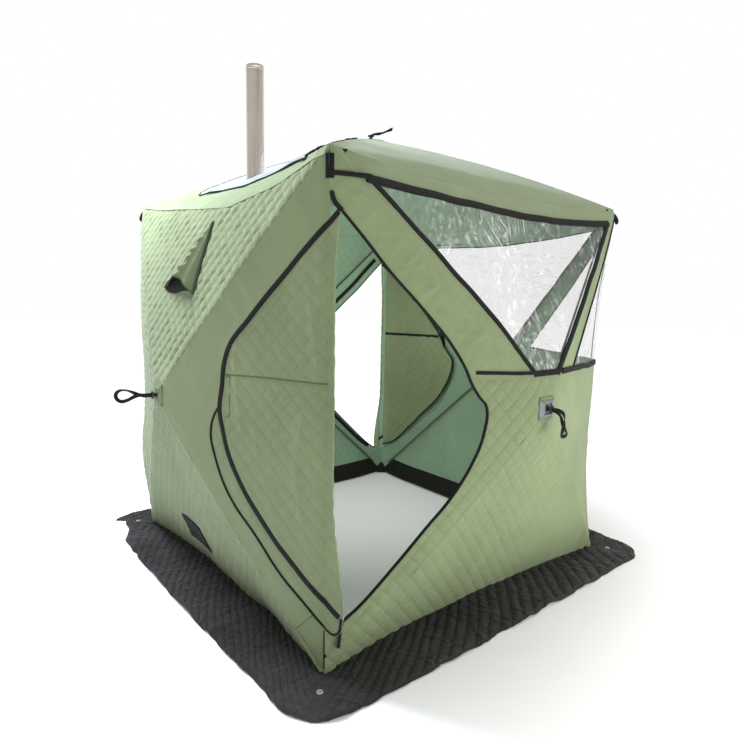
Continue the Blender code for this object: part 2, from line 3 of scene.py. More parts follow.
import bmesh
import bpy
import numpy as np
from mathutils import Matrix, Vector
from mathutils.geometry import delaunay_2d_cdt


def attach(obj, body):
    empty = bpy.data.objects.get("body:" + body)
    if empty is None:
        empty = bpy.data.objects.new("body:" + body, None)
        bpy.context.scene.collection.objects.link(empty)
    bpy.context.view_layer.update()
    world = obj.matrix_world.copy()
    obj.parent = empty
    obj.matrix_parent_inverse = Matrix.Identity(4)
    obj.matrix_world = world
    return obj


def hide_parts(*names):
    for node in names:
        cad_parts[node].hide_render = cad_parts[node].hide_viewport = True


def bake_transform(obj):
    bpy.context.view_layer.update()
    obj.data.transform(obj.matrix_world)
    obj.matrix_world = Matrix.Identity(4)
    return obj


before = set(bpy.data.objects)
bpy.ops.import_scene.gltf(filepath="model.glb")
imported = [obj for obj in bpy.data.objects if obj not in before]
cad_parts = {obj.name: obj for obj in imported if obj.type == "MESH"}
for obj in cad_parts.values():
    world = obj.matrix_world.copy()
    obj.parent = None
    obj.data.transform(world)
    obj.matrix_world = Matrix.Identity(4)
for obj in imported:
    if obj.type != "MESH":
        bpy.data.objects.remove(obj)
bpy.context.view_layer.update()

# ================================================================ dimensions
HALF, BASE_Z, EAVE_Z = 0.90, 0.010, 1.840
HUB_Z, HALF_H = 0.925, 0.915
WALL_BULGE, ROOF_RISE = 0.265, 0.360
PIPE_X, PIPE_Y, PIPE_R = -0.758, -0.136, 0.038
CELLS = 26  # quilting cells along a ridge
CELL = 2.0 / CELLS


# ===================================================================== noise
def _hash(i, j, k):
    h = (i * 73856093) ^ (j * 19349663) ^ (k * 83492791)
    h = (h ^ (h >> 13)) & 0xFFFFFFFF
    h = (h * 1274126177) & 0xFFFFFFFF
    h = h ^ (h >> 16)
    return (h & 0xFFFF) / 32767.5 - 1.0


def noise(x, y, seed=0):
    """Smooth value noise from -1 to 1."""
    x, y = np.broadcast_arrays(np.asarray(x, float), np.asarray(y, float))
    i, j = np.floor(x).astype(np.int64), np.floor(y).astype(np.int64)
    fx, fy = x - i, y - j
    sx, sy = fx**3 * (fx * (6 * fx - 15) + 10), fy**3 * (fy * (6 * fy - 15) + 10)
    k = np.int64(seed)
    a, b = _hash(i, j, k), _hash(i + 1, j, k)
    c, d = _hash(i, j + 1, k), _hash(i + 1, j + 1, k)
    return (a * (1 - sx) + b * sx) * (1 - sy) + (c * (1 - sx) + d * sx) * sy


def fbm(x, y, seed=0, octaves=3):
    out, amp, total = 0.0, 1.0, 0.0
    for o in range(octaves):
        out = out + amp * noise(x * 2**o, y * 2**o, seed + 17 * o)
        total += amp
        amp *= 0.5
    return out / total


def folds(x, y, angle, long, short, seed, sharp=2.2):
    """Soft crests that run along the given direction (0 to 1)."""
    c, s = math.cos(angle), math.sin(angle)
    u, v = (c * x + s * y) / long, (-s * x + c * y) / short
    v = v + 0.55 * noise(u * 1.7, v * 0.35, seed + 5)
    return (1 - np.abs(noise(u, v, seed))) ** sharp


def smooth(a, b, x):
    t = np.clip((np.asarray(x, float) - a) / (b - a), 0, 1)
    return t * t * (3 - 2 * t)


# ================================================================= materials
def lin(r, g, b):
    return tuple(
        (c / 255 / 12.92 if c / 255 <= 0.04045 else ((c / 255 + 0.055) / 1.055) ** 2.4)
        for c in (r, g, b)
    ) + (1.0,)


class Look:
    """A small builder round a Principled material's node tree."""

    def __init__(self, name, rough=0.8, **sockets):
        self.m = bpy.data.materials.new(name)
        self.m.use_nodes = True
        self.t = self.m.node_tree
        self.p = next(n for n in self.t.nodes if n.type == "BSDF_PRINCIPLED")
        self.p.inputs["Roughness"].default_value = rough
        for k, v in sockets.items():
            self.p.inputs[k.replace("_", " ")].default_value = v

    def node(self, kind, **props):
        n = self.t.nodes.new(kind)
        for k, v in props.items():
            setattr(n, k, v)
        return n

    def link(self, a, b):
        self.t.links.new(a, b)

    def coords(self, attribute=None):
        if attribute:
            return self.node("ShaderNodeAttribute", attribute_name=attribute).outputs[
                "Vector"
            ]
        return self.node("ShaderNodeTexCoord").outputs["Object"]

    def noise(self, vector, scale, detail=3.0, rough=0.55, distortion=0.0):
        n = self.node("ShaderNodeTexNoise")
        n.inputs["Scale"].default_value = scale
        n.inputs["Detail"].default_value = detail
        n.inputs["Roughness"].default_value = rough
        n.inputs["Distortion"].default_value = distortion
        self.link(vector, n.inputs["Vector"])
        return n.outputs["Fac"]

    def scaled(self, vector, xyz, rotation=(0, 0, 0)):
        n = self.node("ShaderNodeMapping")
        n.inputs["Scale"].default_value = xyz
        n.inputs["Rotation"].default_value = rotation
        self.link(vector, n.inputs["Vector"])
        return n.outputs["Vector"]

    def math(self, op, a, b=None, c=None, clamp=False):
        n = self.node("ShaderNodeMath", operation=op, use_clamp=clamp)
        for i, v in enumerate((a, b, c)):
            if v is None:
                continue
            if isinstance(v, (int, float)):
                n.inputs[i].default_value = v
            else:
                self.link(v, n.inputs[i])
        return n.outputs[0]

    def ramp(self, fac, a, b, lo=0.0, hi=1.0):
        n = self.node("ShaderNodeMapRange", interpolation_type="SMOOTHSTEP")
        n.inputs["From Min"].default_value = a
        n.inputs["From Max"].default_value = b
        n.inputs["To Min"].default_value = lo
        n.inputs["To Max"].default_value = hi
        self.link(fac, n.inputs["Value"])
        return n.outputs["Result"]

    def mix(self, fac, a, b):
        n = self.node("ShaderNodeMix", data_type="RGBA")
        for s, v in (("A", a), ("B", b)):
            socket = next(
                i for i in n.inputs if i.name == s and i.type == "RGBA"
            )
            if isinstance(v, tuple):
                socket.default_value = v
            else:
                self.link(v, socket)
        fs = n.inputs[0]
        if isinstance(fac, (int, float)):
            fs.default_value = fac
        else:
            self.link(fac, fs)
        return next(o for o in n.outputs if o.type == "RGBA")

    def colour(self, c):
        self.link(c, self.p.inputs["Base Color"])

    def rough(self, r):
        self.link(r, self.p.inputs["Roughness"])

    def bump(self, height, distance, strength=1.0, after=None):
        n = self.node("ShaderNodeBump")
        n.inputs["Distance"].default_value = distance
        n.inputs["Strength"].default_value = strength
        self.link(height, n.inputs["Height"])
        if after is not None:
            self.link(after, n.inputs["Normal"])
        return n.outputs["Normal"]

    def normal(self, n):
        self.link(n, self.p.inputs["Normal"])


def shade(c, k):
    return tuple(min(1.0, v * k) for v in c[:3]) + (1.0,)


def fabric(name, rgb, rough=0.78, quilted=False, vary=0.10, weave=0.0011, sheen=0.12, line=0.55):
    """Woven polyester; the quilted kind has stitched lines along its lattice, drawn darker as thread and as painted
    shade in the stitched valleys.
    """
    L = Look(name, rough, Sheen_Weight=sheen, Specular_IOR_Level=0.35)
    L.p.inputs["Sheen Roughness"].default_value = 0.5
    base = lin(*rgb)
    obj = L.coords()
    broad = L.noise(obj, 2.3, 4.0, 0.6, 0.4)
    fine = L.noise(obj, 95.0, 2.0)
    c = L.mix(L.ramp(broad, 0.3, 0.7), shade(base, 1 - vary), shade(base, 1 + vary))
    c = L.mix(L.ramp(fine, 0.35, 0.75, 0.0, 0.35), c, shade(base, 1.18))
    lat = L.coords("lattice")
    k = (CELL * 0.6417) / weave
    warp = L.node("ShaderNodeTexWave", wave_type="BANDS", bands_direction="X")
    weft = L.node("ShaderNodeTexWave", wave_type="BANDS", bands_direction="Y")
    for w in (warp, weft):
        w.inputs["Scale"].default_value = k / 6.2832 * 3.1416
        w.inputs["Distortion"].default_value = 0.4
        w.inputs["Detail"].default_value = 1.0
        L.link(lat, w.inputs["Vector"])
    thread = L.math("MULTIPLY", warp.outputs["Fac"], weft.outputs["Fac"])
    n = L.bump(thread, 0.00012, 0.5)
    n = L.bump(fine, 0.0006, 0.35, n)
    wr = L.noise(L.scaled(obj, (1, 1, 1)), 26.0, 4.0, 0.62, 1.2)
    n = L.bump(wr, 0.004, 0.32, n)
    if quilted:
        sep = L.node("ShaderNodeSeparateXYZ")
        L.link(lat, sep.inputs[0])
        edges = []
        for a, b in ((0, 1), (1, 0)):
            fa = L.math("ABSOLUTE", L.math("SUBTRACT", L.math("FRACT", sep.outputs[a]), 0.5))
            near = L.ramp(fa, 0.455, 0.492)
            dash = L.ramp(
                L.math("ABSOLUTE", L.math("SUBTRACT", L.math("FRACT", L.math("MULTIPLY", sep.outputs[b], 13.0)), 0.5)),
                0.18, 0.26, 1.0, 0.35,
            )
            edges.append(L.math("MULTIPLY", near, dash))
        # Stitched lines: thread plus painted shade in the valleys; line sets how dark they are drawn.
        seam = L.math("MULTIPLY", L.math("MAXIMUM", edges[0], edges[1]), sep.outputs[2])
        c = L.mix(L.math("MULTIPLY", seam, line), c, shade(base, 0.45))
        n = L.bump(L.math("SUBTRACT", 1.0, seam), 0.0014, 0.45, n)
    L.colour(c)
    L.rough(L.ramp(fine, 0.2, 0.8, rough - 0.06, rough + 0.08))
    L.normal(n)
    return L.m


GREEN = (121, 134, 98)
M = {}
M["quilt"] = fabric("quilted_green", GREEN, quilted=True)
M["plain"] = fabric("plain_green", GREEN, vary=0.06)
M["hem"] = fabric("hem_green", (126, 142, 106), vary=0.05)
# Inner side: lighter than the outer green, painted light standing in for daylight through the cloth.
M["inside"] = fabric("inner_green", (130, 157, 130), quilted=True, vary=0.10, line=0.45)
M["inside_plain"] = fabric("inner_plain_green", (130, 157, 130), vary=0.10)
M["black"] = fabric("black_webbing", (18, 17, 17), rough=0.80, vary=0.2, weave=0.0016, sheen=0.02)
M["binding"] = fabric("black_binding", (19, 18, 18), rough=0.85, vary=0.18, weave=0.0013, sheen=0.02)
M["skirt"] = fabric("skirt_black", (44, 43, 42), rough=0.80, quilted=True, vary=0.28, weave=0.0014, sheen=0.08, line=0.85)
M["skirt_plain"] = fabric("skirt_edge_black", (40, 39, 40), rough=0.82, vary=0.2, weave=0.0014, sheen=0.08)
M["fire"] = fabric("heatproof_grey", (150, 158, 160), rough=0.62, vary=0.12, weave=0.0012, sheen=0.05)
M["patch"] = fabric("hub_patch_green", (108, 122, 89), vary=0.05)
M["reflect"] = fabric("reflective_grey", (118, 118, 126), rough=0.45, vary=0.05, sheen=0.0)


def film_look(name, alpha, tint=(150, 150, 148)):
    """Clear sheet with a light haze, and painted highlights that glow faintly along a few fine creases and ripples."""
    L = Look(name, 0.12, Specular_IOR_Level=0.45, IOR=1.46)
    obj = L.coords()
    haze = L.ramp(L.noise(obj, 2.6, 3.0), 0.3, 0.75)
    lines = None
    for angle, seed in ((0.75, 0.0), (-0.95, 3.7), (1.45, 8.1)):
        turned = L.scaled(obj, (1, 1, 1), (0, angle, 0.35 * angle))
        long = L.noise(L.scaled(turned, (1.4, 1.4, 34.0)), 1.0, 2.0, 0.5, 0.25)
        line = L.math("SUBTRACT", 1.0, L.math("ABSOLUTE", L.math("MULTIPLY", L.math("SUBTRACT", long, 0.47 + 0.01 * seed), 26.0)), clamp=True)
        patch = L.ramp(L.noise(L.scaled(obj, (1, 1, 1), (seed, seed, 0)), 3.2, 2.0), 0.53, 0.66)
        line = L.math("MULTIPLY", L.math("POWER", line, 2.0), patch)
        lines = line if lines is None else L.math("MAXIMUM", lines, line)
    ripple = L.noise(L.scaled(obj, (1, 1, 0.55)), 46.0, 4.0, 0.62, 0.8)
    ripple = L.math("MULTIPLY", L.ramp(ripple, 0.46, 0.70), L.ramp(L.noise(obj, 3.1, 2.0), 0.34, 0.56, 0.35, 1.0))
    # Painted highlights: creases and ripples drawn near white and made to glow.
    painted_glint = L.math("MAXIMUM", L.math("MULTIPLY", lines, 0.9), L.math("MULTIPLY", ripple, 0.75), clamp=True)
    L.colour(L.mix(painted_glint, L.mix(haze, lin(*tint), shade(lin(*tint), 1.15)), lin(250, 250, 248)))
    L.p.inputs["Emission Color"].default_value = (1, 1, 1, 1)
    L.link(L.math("MULTIPLY", painted_glint, 0.55), L.p.inputs["Emission Strength"])
    a = L.math("ADD", L.math("MULTIPLY", lines, 0.34), L.math("ADD", alpha, L.math("MULTIPLY", ripple, 0.13)), clamp=True)
    L.link(a, L.p.inputs["Alpha"])
    soft = L.noise(obj, 5.0, 3.0, 0.5, 0.6)
    L.rough(L.ramp(soft, 0.3, 0.7, 0.08, 0.18))
    L.normal(L.bump(soft, 0.006, 0.3))
    return L.m


M["film"] = film_look("clear_film", 0.085)


def plastic(name, rgb, rough=0.45):
    L = Look(name, rough, Specular_IOR_Level=0.45)
    obj = L.coords()
    base = lin(*rgb)
    f = L.noise(obj, 240.0, 3.0)
    w = L.noise(obj, 14.0, 4.0)
    L.colour(L.mix(L.ramp(w, 0.35, 0.7), shade(base, 0.85), shade(base, 1.35)))
    L.rough(L.ramp(w, 0.3, 0.7, rough - 0.08, rough + 0.12))
    L.normal(L.bump(f, 0.0004, 0.4))
    return L.m


def fibreglass():
    L = Look("pole_fibreglass_look", 0.35, Coat_Weight=0.3)
    obj = L.coords()
    base = lin(52, 54, 58)
    f = L.noise(L.scaled(obj, (60, 60, 60)), 6.0, 3.0)
    L.colour(L.mix(L.ramp(f, 0.3, 0.7), shade(base, 0.75), shade(base, 1.4)))
    L.rough(L.ramp(f, 0.3, 0.7, 0.28, 0.45))
    L.normal(L.bump(f, 0.0003, 0.4))
    return L.m


def brushed_steel():
    L = Look("brushed_steel", 0.28, Metallic=1.0, Anisotropic=0.6)
    obj = L.coords()
    hair = L.noise(L.scaled(obj, (900, 900, 14)), 1.0, 2.0)
    broad = L.noise(L.scaled(obj, (26, 26, 0.7)), 1.0, 3.0)
    smear = L.noise(obj, 7.0, 4.0)
    base = lin(226, 218, 204)
    # Lighter and darker lengthwise bands round the pipe: painted reflection stripes.
    c = L.mix(L.ramp(broad, 0.36, 0.64), shade(base, 0.62), shade(base, 1.15))
    c = L.mix(L.ramp(smear, 0.45, 0.8, 0.0, 0.3), c, shade(lin(170, 150, 120), 1.0))
    L.colour(c)
    L.rough(L.ramp(hair, 0.3, 0.7, 0.2, 0.36))
    L.normal(L.bump(hair, 0.00025, 0.35))
    return L.m


def silicone():
    L = Look("collar_silicone_look", 0.5)
    obj = L.coords()
    f = L.noise(obj, 160.0, 3.0)
    w = L.noise(obj, 11.0, 3.0)
    base = lin(120, 122, 125)
    L.colour(L.mix(L.ramp(w, 0.3, 0.7), shade(base, 0.86), shade(base, 1.12)))
    L.rough(L.ramp(w, 0.3, 0.7, 0.42, 0.6))
    L.normal(L.bump(f, 0.0005, 0.4))
    return L.m


M["hub"] = plastic("hub_plastic_look", (30, 30, 32))
M["pole"] = fibreglass()
M["steel"] = brushed_steel()
M["collar"] = silicone()


def ring_metal():
    L = Look("eyelet_metal", 0.34, Metallic=0.55)
    obj = L.coords()
    w = L.noise(obj, 300.0, 3.0)
    base = lin(205, 204, 200)
    L.colour(L.mix(L.ramp(w, 0.3, 0.7), shade(base, 0.7), shade(base, 1.2)))
    L.rough(L.ramp(w, 0.3, 0.7, 0.22, 0.4))
    return L.m


M["ring"] = ring_metal()


# ===================================================================== faces
FOOT_BOW = 0.055


class Face:
    def __init__(self, name, centre, normal, up, hx, hy, bulge, bow):
        self.name = name
        self.n, self.v = np.array(normal, float), np.array(up, float)
        self.u = np.cross(self.v, self.n)
        self.o = np.array(centre, float)
        self.hx, self.hy, self.bulge, self.bow = hx, hy, bulge, bow

    def length(self, side):
        return math.hypot(self.hy if side in ("top", "bottom") else self.hx, self.bulge)

    def seam(self, side, Q):
        """The seam's name and the place along it in world terms."""
        if self.name == "roof":
            return "eave_" + ROOF_LABEL[side], Q
        if side in ("top", "bottom"):
            return ("eave_" if side == "top" else "foot_") + self.name, Q * self.u.sum()
        end = self.u * (1 if side == "xmax" else -1) + self.n
        return CORNER[(round(end[0]), round(end[1]))], Q

    def at(self, side, X, Y):
        """Points of the mid surface of one panel, which may run past its edges."""
        X, Y = np.asarray(X, float), np.asarray(Y, float)
        rho = {"top": Y, "bottom": -Y, "xmin": -X, "xmax": X}[side]
        across = X if side in ("top", "bottom") else Y
        inside = np.clip(rho, 0, 1)
        Q = np.clip(across / np.maximum(rho, 1e-6), -1, 1)
        bow = self.bow
        if self.name == "roof":
            r = np.maximum(np.maximum(np.abs(X), np.abs(Y)), 1e-6)
            bow = self.bow * (0.80 + 0.50 * X / r)
        h = self.bulge * (1 - rho) + bow * 4 * inside * (1 - inside)
        if self.name == "roof":
            slack_ = {"xmin": 0.044, "bottom": -0.006}.get(side, 0.008)
            h = h - slack_ * (1 - Q * Q) ** 1.4 * smooth(0.15, 0.8, inside) * smooth(1.0, 0.86, inside)
        P = (
            self.o
            + self.u * (X * self.hx)[..., None]
            + self.v * (Y * self.hy)[..., None]
            + self.n * h[..., None]
        )
        seam, t = self.seam(side, Q)
        s = np.maximum(1 - rho, 0) * self.length(side)
        return P + SEAMS[seam](t, s, inside)

    def normal(self, side, X, Y, e=0.004):
        dx = self.at(side, X + e, Y) - self.at(side, X - e, Y)
        dy = self.at(side, X, Y + e) - self.at(side, X, Y - e)
        n = np.cross(dx, dy)
        return n / np.linalg.norm(n, axis=-1, keepdims=True)

    def blend_line(self, side):
        ends = {"top": (0, 1), "bottom": (0, -1), "xmin": (-1, 0), "xmax": (1, 0)}[side]
        mid = self.o + self.u * ends[0] * self.hx + self.v * ends[1] * self.hy
        d = self.o + self.n * self.bulge - mid
        d /= np.linalg.norm(d)
        return tuple(mid + d * 0.03), tuple(mid + d * 0.20)

    def body(self, side):
        return f"panel_{self.name}_{self.label(side)}_body"

    def label(self, side):
        if self.name == "roof":
            return ROOF_LABEL[side]
        return SIDE_NAMES[self.name].get(side, side)


SIDE_NAMES = {
    "left": {"xmin": "corner", "xmax": "door"},
    "right": {"xmin": "door", "xmax": "corner"},
    "rear_right": {"xmin": "corner", "xmax": "door"},
    "rear_left": {"xmin": "door", "xmax": "corner"},
}
ROOF_LABEL = {"top": "rear_left", "bottom": "right", "xmin": "left", "xmax": "rear_right"}
CORNER = {(-1, -1): "corner_front", (1, 1): "corner_rear", (-1, 1): "corner_left", (1, -1): "corner_right"}
NORMALS = {"left": (-1, 0, 0), "right": (0, -1, 0), "rear_right": (1, 0, 0), "rear_left": (0, 1, 0)}


def eave_shift(normal, seed):
    n = np.array(normal, float)
    a, b = math.atan(WALL_BULGE / HALF_H), math.atan(ROOF_RISE / HALF)
    z = np.array([0, 0, 1.0])
    bis = -(n * math.cos(a) + z * math.sin(a) + n * math.sin(b) + z * math.cos(b))
    bis /= np.linalg.norm(bis)

    def shift(t, s, rho):
        open_ = 1 - np.abs(t) ** 3.5
        L = 0.055 + 0.085 * open_
        crown = 0.235 * L * open_ * np.clip(1 - s / L, 0, 1) ** 2
        sag = (0.014 + 0.004 * noise(t * 3.1, 0.3, seed)) * open_ * rho**4
        return bis * crown[..., None] + (bis * 0.6 - z * 0.4) * sag[..., None]

    return shift


def corner_shift(xy, inward, rounding, seed):
    """Inward is the corner edge's place along its height, as (t, metres)."""
    d = np.array([-xy[0], -xy[1], 0.0]) / math.sqrt(2)
    ts, ds = np.array(inward).T

    def shift(t, s, rho):
        open_ = 1 - np.abs(t) ** 3.0
        ends = 1 - np.abs(t) ** 14
        L = 0.03 + rounding * open_
        full = 0.27 * L * open_
        crown = full * np.clip(1 - s / L, 0, 1) ** 2
        bow = (np.interp(t, ts, ds) + 0.003 * noise(t * 2.7, 0.7, seed) * open_ - full) * rho**2.2 * ends
        return d * (crown + bow)[..., None]

    return shift


def foot_shift(normal, seed):
    n = np.array(normal, float)

    def shift(t, s, rho):
        open_ = 1 - np.abs(t) ** 2.6
        bow = (FOOT_BOW + 0.010 * noise(t * 4.0, 0.2, seed)) * open_ * rho**3
        return -n * bow[..., None]

    return shift


SEAMS = {f"eave_{k}": eave_shift(n, 3 + i) for i, (k, n) in enumerate(NORMALS.items())}
SEAMS.update({f"foot_{k}": foot_shift(n, 9 + i) for i, (k, n) in enumerate(NORMALS.items())})
SEAMS["corner_front"] = corner_shift((-1, -1), [(-1, 0.0), (-0.9, 0.004), (0, 0.012), (0.9, 0.004), (1, 0)], 0.02, 21)
SEAMS["corner_rear"] = corner_shift((1, 1), [(-1, 0.0), (-0.9, 0.004), (0, 0.012), (0.9, 0.004), (1, 0)], 0.02, 22)
SEAMS["corner_left"] = corner_shift(
    (-1, 1),
    [(-1, 0.004), (-0.85, -0.010), (-0.72, -0.024), (-0.62, -0.031), (-0.54, -0.031), (-0.42, -0.022), (-0.33, -0.008), (-0.22, 0.001),
     (0.03, 0.001), (0.16, -0.004), (0.25, -0.008), (0.44, -0.012), (0.62, -0.013), (0.78, -0.014), (0.9, -0.016), (1, -0.016)], 0.06, 23)
SEAMS["corner_right"] = corner_shift(
    (1, -1),
    [(-1, 0.008), (-0.92, 0.020), (-0.80, 0.036), (-0.62, 0.056), (-0.5, 0.065), (-0.3, 0.069), (0, 0.065), (0.13, 0.063), (0.28, 0.060),
     (0.46, 0.051), (0.55, 0.044), (0.63, 0.032), (0.72, 0.022), (0.80, 0.009), (0.91, -0.005), (1, -0.014)], 0.06, 24)

FACES = {
    k: Face(k, np.array(n) * HALF + np.array([0, 0, HUB_Z]), n, (0, 0, 1), HALF, HALF_H, WALL_BULGE, 0.012)
    for k, n in NORMALS.items()
}
FACES["roof"] = Face("roof", (0, 0, EAVE_Z), (0, 0, 1), (0, 1, 0), HALF, HALF, ROOF_RISE, 0.026)
SIDES = ("top", "bottom", "xmin", "xmax")


# ============================================================== mesh builders
def add(name, mesh, *looks):
    ob = bpy.data.objects.new(name, mesh)
    bpy.context.scene.collection.objects.link(ob)
    for l in looks:
        mesh.materials.append(M[l] if isinstance(l, str) else l)
    return ob


def mesh_from(name, V, F, slots=None, lattice=None, sharp=62.0):
    """A triangle or quad mesh from arrays, smooth but for its hard edges."""
    V = np.asarray(V, np.float32)
    F = [np.asarray(f) for f in (F if isinstance(F, list) else [F])]
    me = bpy.data.meshes.new(name)
    me.vertices.add(len(V))
    me.vertices.foreach_set("co", V.ravel())
    loops = np.concatenate([f.ravel() for f in F]).astype(np.int32)
    total = np.concatenate([np.full(len(f), f.shape[1], np.int32) for f in F])
    start = np.concatenate([[0], np.cumsum(total)[:-1]]).astype(np.int32)
    me.loops.add(len(loops))
    me.loops.foreach_set("vertex_index", loops)
    me.polygons.add(len(total))
    me.polygons.foreach_set("loop_start", start)
    me.polygons.foreach_set("loop_total", total)
    if slots is not None:
        me.polygons.foreach_set("material_index", np.asarray(slots, np.int32))
    me.update(calc_edges=True)
    me.validate()
    if lattice is not None:
        at = me.attributes.new("lattice", "FLOAT_VECTOR", "POINT")
        at.data.foreach_set("vector", np.asarray(lattice, np.float32).ravel())
    me.shade_smooth()
    me.set_sharp_from_angle(angle=math.radians(sharp))
    return me


def point_normals(P, T):
    n = np.cross(P[T[:, 1]] - P[T[:, 0]], P[T[:, 2]] - P[T[:, 0]])
    out = np.zeros_like(P)
    for i in range(3):
        np.add.at(out, T[:, i], n)
    return out / np.maximum(np.linalg.norm(out, axis=1, keepdims=True), 1e-12)


def area_of(P, T):
    n = np.cross(P[T[:, 1]] - P[T[:, 0]], P[T[:, 2]] - P[T[:, 0]])
    return float(np.linalg.norm(n, axis=1).sum() / 2)


def rim_of(T):
    """Directed boundary edges."""
    e = np.concatenate([T[:, [0, 1]], T[:, [1, 2]], T[:, [2, 0]]])
    big = int(T.max()) + 1
    key = e[:, 0].astype(np.int64) * big + e[:, 1]
    back = e[:, 1].astype(np.int64) * big + e[:, 0]
    return e[~np.isin(key, back)]


def shell(name, P, T, out, inn, looks, inner_slots=None, lattice=None, normals=None, sharp=62.0):
    """A closed cloth: the sheet P pushed out on one side and in on the other."""
    N = point_normals(P, T) if normals is None else normals
    n = len(P)
    V = np.concatenate([P + N * np.reshape(out, (-1, 1)), P - N * np.reshape(inn, (-1, 1))])
    e = rim_of(T)
    rim = np.stack([e[:, 1], e[:, 0], e[:, 0] + n, e[:, 1] + n], axis=1)
    inner = np.full(len(T), min(1, len(looks) - 1)) if inner_slots is None else inner_slots
    slots = np.concatenate([np.zeros(len(T)), inner, np.zeros(len(rim))])
    lat = None if lattice is None else np.concatenate([lattice, lattice])
    me = mesh_from(name, V, [T, T[:, ::-1] + n, rim], slots, lat, sharp)
    return add(name, me, *looks)


def in_polygon(P, poly):
    x, y = P[:, 0][:, None], P[:, 1][:, None]
    a = np.asarray(poly, float)
    b = np.roll(a, -1, axis=0)
    out = np.zeros(len(P), bool)
    for k in range(0, len(a), 200):
        ax, ay, bx, by = a[k : k + 200, 0], a[k : k + 200, 1], b[k : k + 200, 0], b[k : k + 200, 1]
        cross = (ay > y) != (by > y)
        at = ax + (y - ay) * (bx - ax) / np.where(by == ay, 1e-12, by - ay)
        out ^= (np.count_nonzero(cross & (x < at), axis=1) % 2).astype(bool)
    return out


def line_distance(P, lines):
    """Distance from each point to the nearest of several polylines."""
    best = np.full(len(P), 9.0)
    for line in lines:
        a, b = np.asarray(line[:-1], float), np.asarray(line[1:], float)
        d = b - a
        dd = np.maximum((d**2).sum(1), 1e-14)
        for k in range(0, len(a), 100):
            w = P[:, None] - a[None, k : k + 100]
            t = np.clip((w * d[k : k + 100]).sum(2) / dd[k : k + 100], 0, 1)
            r = w - t[..., None] * d[None, k : k + 100]
            best = np.minimum(best, np.sqrt((r**2).sum(2)).min(1))
    return best


def spline(points, step, closed=False):
    """A smooth curve through the points, read about every step metres."""
    p = np.asarray(points, float)
    n = len(p)
    q = np.concatenate([p[-1:], p, p[:2]]) if closed else np.concatenate(
        [2 * p[:1] - p[1:2], p, 2 * p[-1:] - p[-2:-1]]
    )
    out = []
    for i in range(n if closed else n - 1):
        a, b, c, d = q[i : i + 4]
        k = max(2, int(np.linalg.norm(c - b) / step) + 1)
        # Centripetal form, which doesn't overshoot at tight points.
        t0 = 0.0
        t1 = t0 + max(np.linalg.norm(b - a), 1e-9) ** 0.5
        t2 = t1 + max(np.linalg.norm(c - b), 1e-9) ** 0.5
        t3 = t2 + max(np.linalg.norm(d - c), 1e-9) ** 0.5
        for t in np.linspace(t1, t2, k, endpoint=False):
            A1 = (t1 - t) / (t1 - t0) * a + (t - t0) / (t1 - t0) * b
            A2 = (t2 - t) / (t2 - t1) * b + (t - t1) / (t2 - t1) * c
            A3 = (t3 - t) / (t3 - t2) * c + (t - t2) / (t3 - t2) * d
            B1 = (t2 - t) / (t2 - t0) * A1 + (t - t0) / (t2 - t0) * A2
            B2 = (t3 - t) / (t3 - t1) * A2 + (t - t1) / (t3 - t1) * A3
            out.append((t2 - t) / (t2 - t1) * B1 + (t - t1) / (t2 - t1) * B2)
    if not closed:
        out.append(p[-1])
    return np.array(out)


def dense(points, step=0.008, closed=False):
    p = np.asarray(points, float)
    if closed:
        p = np.concatenate([p, p[:1]])
    out = []
    for a, b in zip(p[:-1], p[1:]):
        k = max(1, int(round(np.linalg.norm(b - a) / step)))
        out += [a + (b - a) * i / k for i in range(k)]
    out.append(p[-1])
    return np.array(out)


# ----------------------------------------------------------- panel sheet grid
SPLIT = (0.0, 0.13, 0.37, 0.63, 0.87)
TICKS = np.array([(c + f) * CELL for c in range(CELLS) for f in SPLIT] + [2.0])
XY_OF = {
    "top": lambda r, c: (c, r),
    "bottom": lambda r, c: (c, -r),
    "xmax": lambda r, c: (r, c),
    "xmin": lambda r, c: (-r, c),
}


def panel_grid():
    """Lattice points of a whole panel as (p, q), and its triangles."""
    n = len(TICKS)
    index = -np.ones((n, n), int)
    pq = []
    for i in range(n):
        for j in range(n - i):
            index[i, j] = len(pq)
            pq.append((TICKS[i], TICKS[j]))
    T = []
    for i in range(n - 1):
        for j in range(n - 1 - i):
            a, b, c, d = index[i, j], index[i + 1, j], index[i, j + 1], index[i + 1, j + 1]
            T.append((a, b, c))
            if d >= 0 and i + j + 2 <= n - 1:
                T.append((b, d, c))
    return np.array(pq), np.array(T)


GRID_PQ, GRID_T = panel_grid()


def pq_to_XY(side, p, q):
    return XY_OF[side]((p + q) / 2, (p - q) / 2)


def XY_to_pq(side, X, Y):
    r = {"top": Y, "bottom": -Y, "xmin": -X, "xmax": X}[side]
    c = X if side in ("top", "bottom") else Y
    return r + c, r - c


def wound(face, side, X, Y, T):
    """Triangles that face outwards."""
    x, y = X * face.hx, Y * face.hy
    a, b, c = T[0]
    k = (x[b] - x[a]) * (y[c] - y[a]) - (x[c] - x[a]) * (y[b] - y[a])
    return T if k > 0 else T[:, ::-1]


